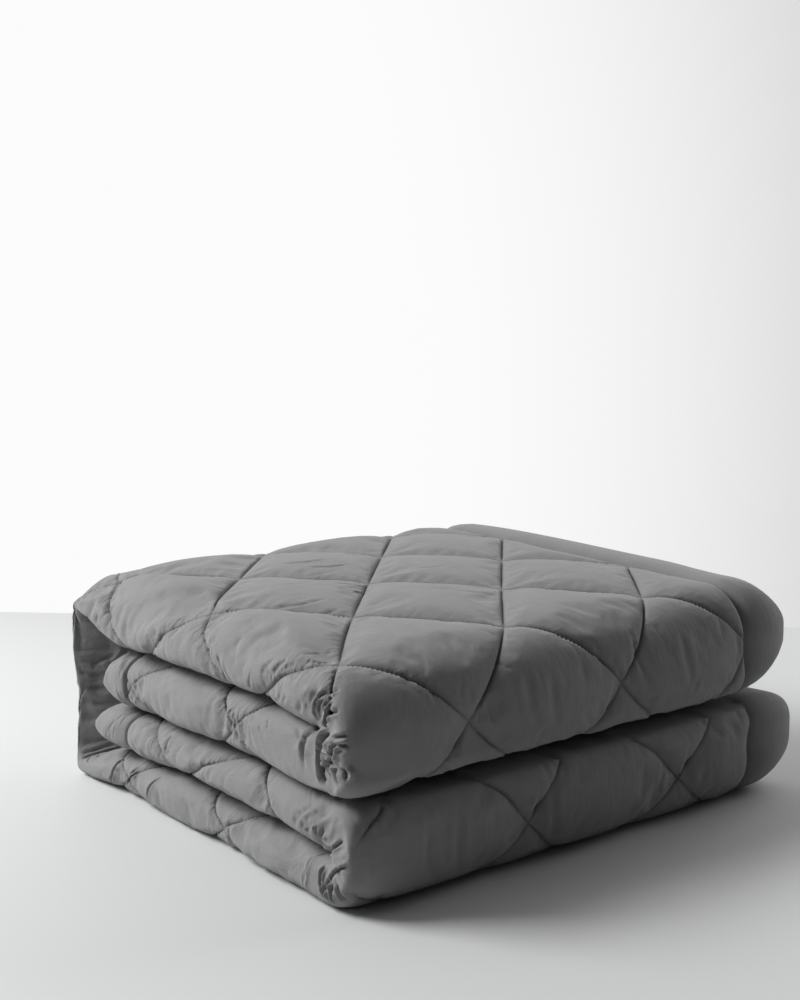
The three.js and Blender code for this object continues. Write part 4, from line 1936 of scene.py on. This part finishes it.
    def _bump(self, tree: Tree, height: Socket, size: Pair) -> Node:
        """Add a bump from a height, with its strength and distance.

        Args:
            tree: the material's nodes.
            height: the height.
            size: strength and distance.

        Returns:
            The bump's node.
        """
        bump = tree.nodes.new("ShaderNodeBump")
        bump.inputs["Strength"].default_value = size[0]
        bump.inputs["Distance"].default_value = size[1]
        tree.links.new(height, bump.inputs["Height"])
        return bump


def look_from(place: Vector, ahead: Vector) -> Matrix:
    """Placing of a camera or a lamp that looks along a direction."""
    return Matrix.Translation(place) @ ahead.to_track_quat("-Z", "Y").to_matrix().to_4x4()


@dataclass(frozen=True)
class Lamp:
    """Square soft light: its side, its power in watts, where it hangs and where it aims."""

    name: str
    size: float
    power: float
    place: Triple
    aim: Triple

    def hang(self) -> None:
        """Hang the light."""
        data = bpy.data.lights.new(self.name, "AREA")
        data.shape = "SQUARE"
        data.size = self.size
        data.energy = self.power
        lamp = bpy.data.objects.new(self.name, data)
        bpy.context.collection.objects.link(lamp)
        place = Vector(self.place)
        lamp.matrix_world = look_from(place, Vector(self.aim) - place)


@dataclass
class Studio:
    """Floor, light and the camera at the photograph's place."""

    image_height: int = 1000
    focal_px: float = 1261.0
    yaw_deg: float = 38.2
    horizon_px: float = 400.0
    eye: Triple = (-0.957, -1.1635, 0.458)
    sensor: float = 36.0
    floor_end: Pair = (0.656, 0.888)
    floor_edge: Pair = (0.712, -0.702)
    floor_size: float = 9.0
    floor_colour: Triple = (0.64, 0.65, 0.645)
    floor_roughness: float = 0.6
    lamps: tuple[Lamp, ...] = (
        Lamp("key", 1.3, 102.0, (-1.85, 1.5, 2.05), (0.0, 0.0, 0.1)),
        Lamp("fill", 1.6, 22.0, (2.2, -0.3, 1.2), (0.4, -0.2, 0.0)),
    )
    bright_side: Triple = (-0.06, 0.998, 0.0)
    dim: float = 0.042
    bright: float = 0.97
    bright_from: float = 0.75

    def add_camera(self) -> None:
        """Place the camera and make it the scene's."""
        data = bpy.data.cameras.new("camera")
        data.sensor_fit = "VERTICAL"
        data.sensor_height = self.sensor
        data.lens = self.sensor * self.focal_px / self.image_height
        camera = bpy.data.objects.new("camera", data)
        bpy.context.collection.objects.link(camera)
        pitch = math.atan((self.image_height / 2.0 - self.horizon_px) / self.focal_px)
        yaw = math.radians(self.yaw_deg)
        flat = math.cos(pitch)
        ahead = Vector((math.sin(yaw) * flat, math.cos(yaw) * flat, -math.sin(pitch)))
        camera.matrix_world = look_from(Vector(self.eye), ahead)
        bpy.context.scene.camera = camera

    def add_floor(self) -> Object:
        """Lay a pale floor that ends in a straight line at the back.

        Returns:
            The floor's object.
        """
        end = Vector((*self.floor_end, 0.0))
        along = Vector((*self.floor_edge, 0.0)).normalized()
        left, right = end - along * self.floor_size, end + along * self.floor_size
        front = Vector((along.y, -along.x, 0.0)) * self.floor_size
        corners = (left, right, right + front, left + front)
        mesh = bpy.data.meshes.new("floor")
        mesh.from_pydata([tuple(c) for c in corners], [], [(0, 1, 2, 3)])
        floor = bpy.data.objects.new("floor", mesh)
        bpy.context.collection.objects.link(floor)
        made = bpy.data.materials.new("pale_floor")
        made.use_nodes = True
        shader = made.node_tree.nodes["Principled BSDF"]
        shader.inputs["Base Color"].default_value = (*self.floor_colour, 1.0)
        shader.inputs["Roughness"].default_value = self.floor_roughness
        mesh.materials.append(made)
        return floor

    def add_world(self) -> None:
        """Surround the scene with white behind and dim light in front."""
        world = bpy.data.worlds.new("surround")
        world.use_nodes = True
        tree = world.node_tree
        back = tree.nodes["Background"]
        place = tree.nodes.new("ShaderNodeTexCoord")
        dot = tree.nodes.new("ShaderNodeVectorMath")
        dot.operation = "DOT_PRODUCT"
        dot.inputs[1].default_value = self.bright_side
        ramp = tree.nodes.new("ShaderNodeValToRGB")
        ramp.color_ramp.interpolation = "EASE"
        dim, bright = ramp.color_ramp.elements
        dim.color = (self.dim, self.dim, self.dim, 1.0)
        bright.position = self.bright_from
        bright.color = (self.bright, self.bright, self.bright, 1.0)
        tree.links.new(place.outputs["Generated"], dot.inputs[0])
        tree.links.new(dot.outputs["Value"], ramp.inputs["Fac"])
        tree.links.new(ramp.outputs["Color"], back.inputs["Color"])
        bpy.context.scene.world = world

    def build(self) -> Object:
        """Set up the whole studio.

        Returns:
            The floor.
        """
        self.add_camera()
        for lamp in self.lamps:
            lamp.hang()
        self.add_world()
        bpy.context.scene.view_settings.view_transform = "Standard"
        return self.add_floor()


def main() -> None:
    """Build the comforter and its studio."""
    skin = ComforterSkin()
    piece = skin.build()
    ClothSettle().run(skin, piece)
    Wrinkles(skin.strip).apply(piece)
    Gathers().apply(piece)
    piece.data.materials.append(FabricFinish().material())
    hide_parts("comforter")
    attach(piece, "root")
    log.info("triangles: %d", sum(len(face.vertices) - 2 for face in piece.data.polygons))
    Studio().build()


if __name__ == "__main__":
    main()
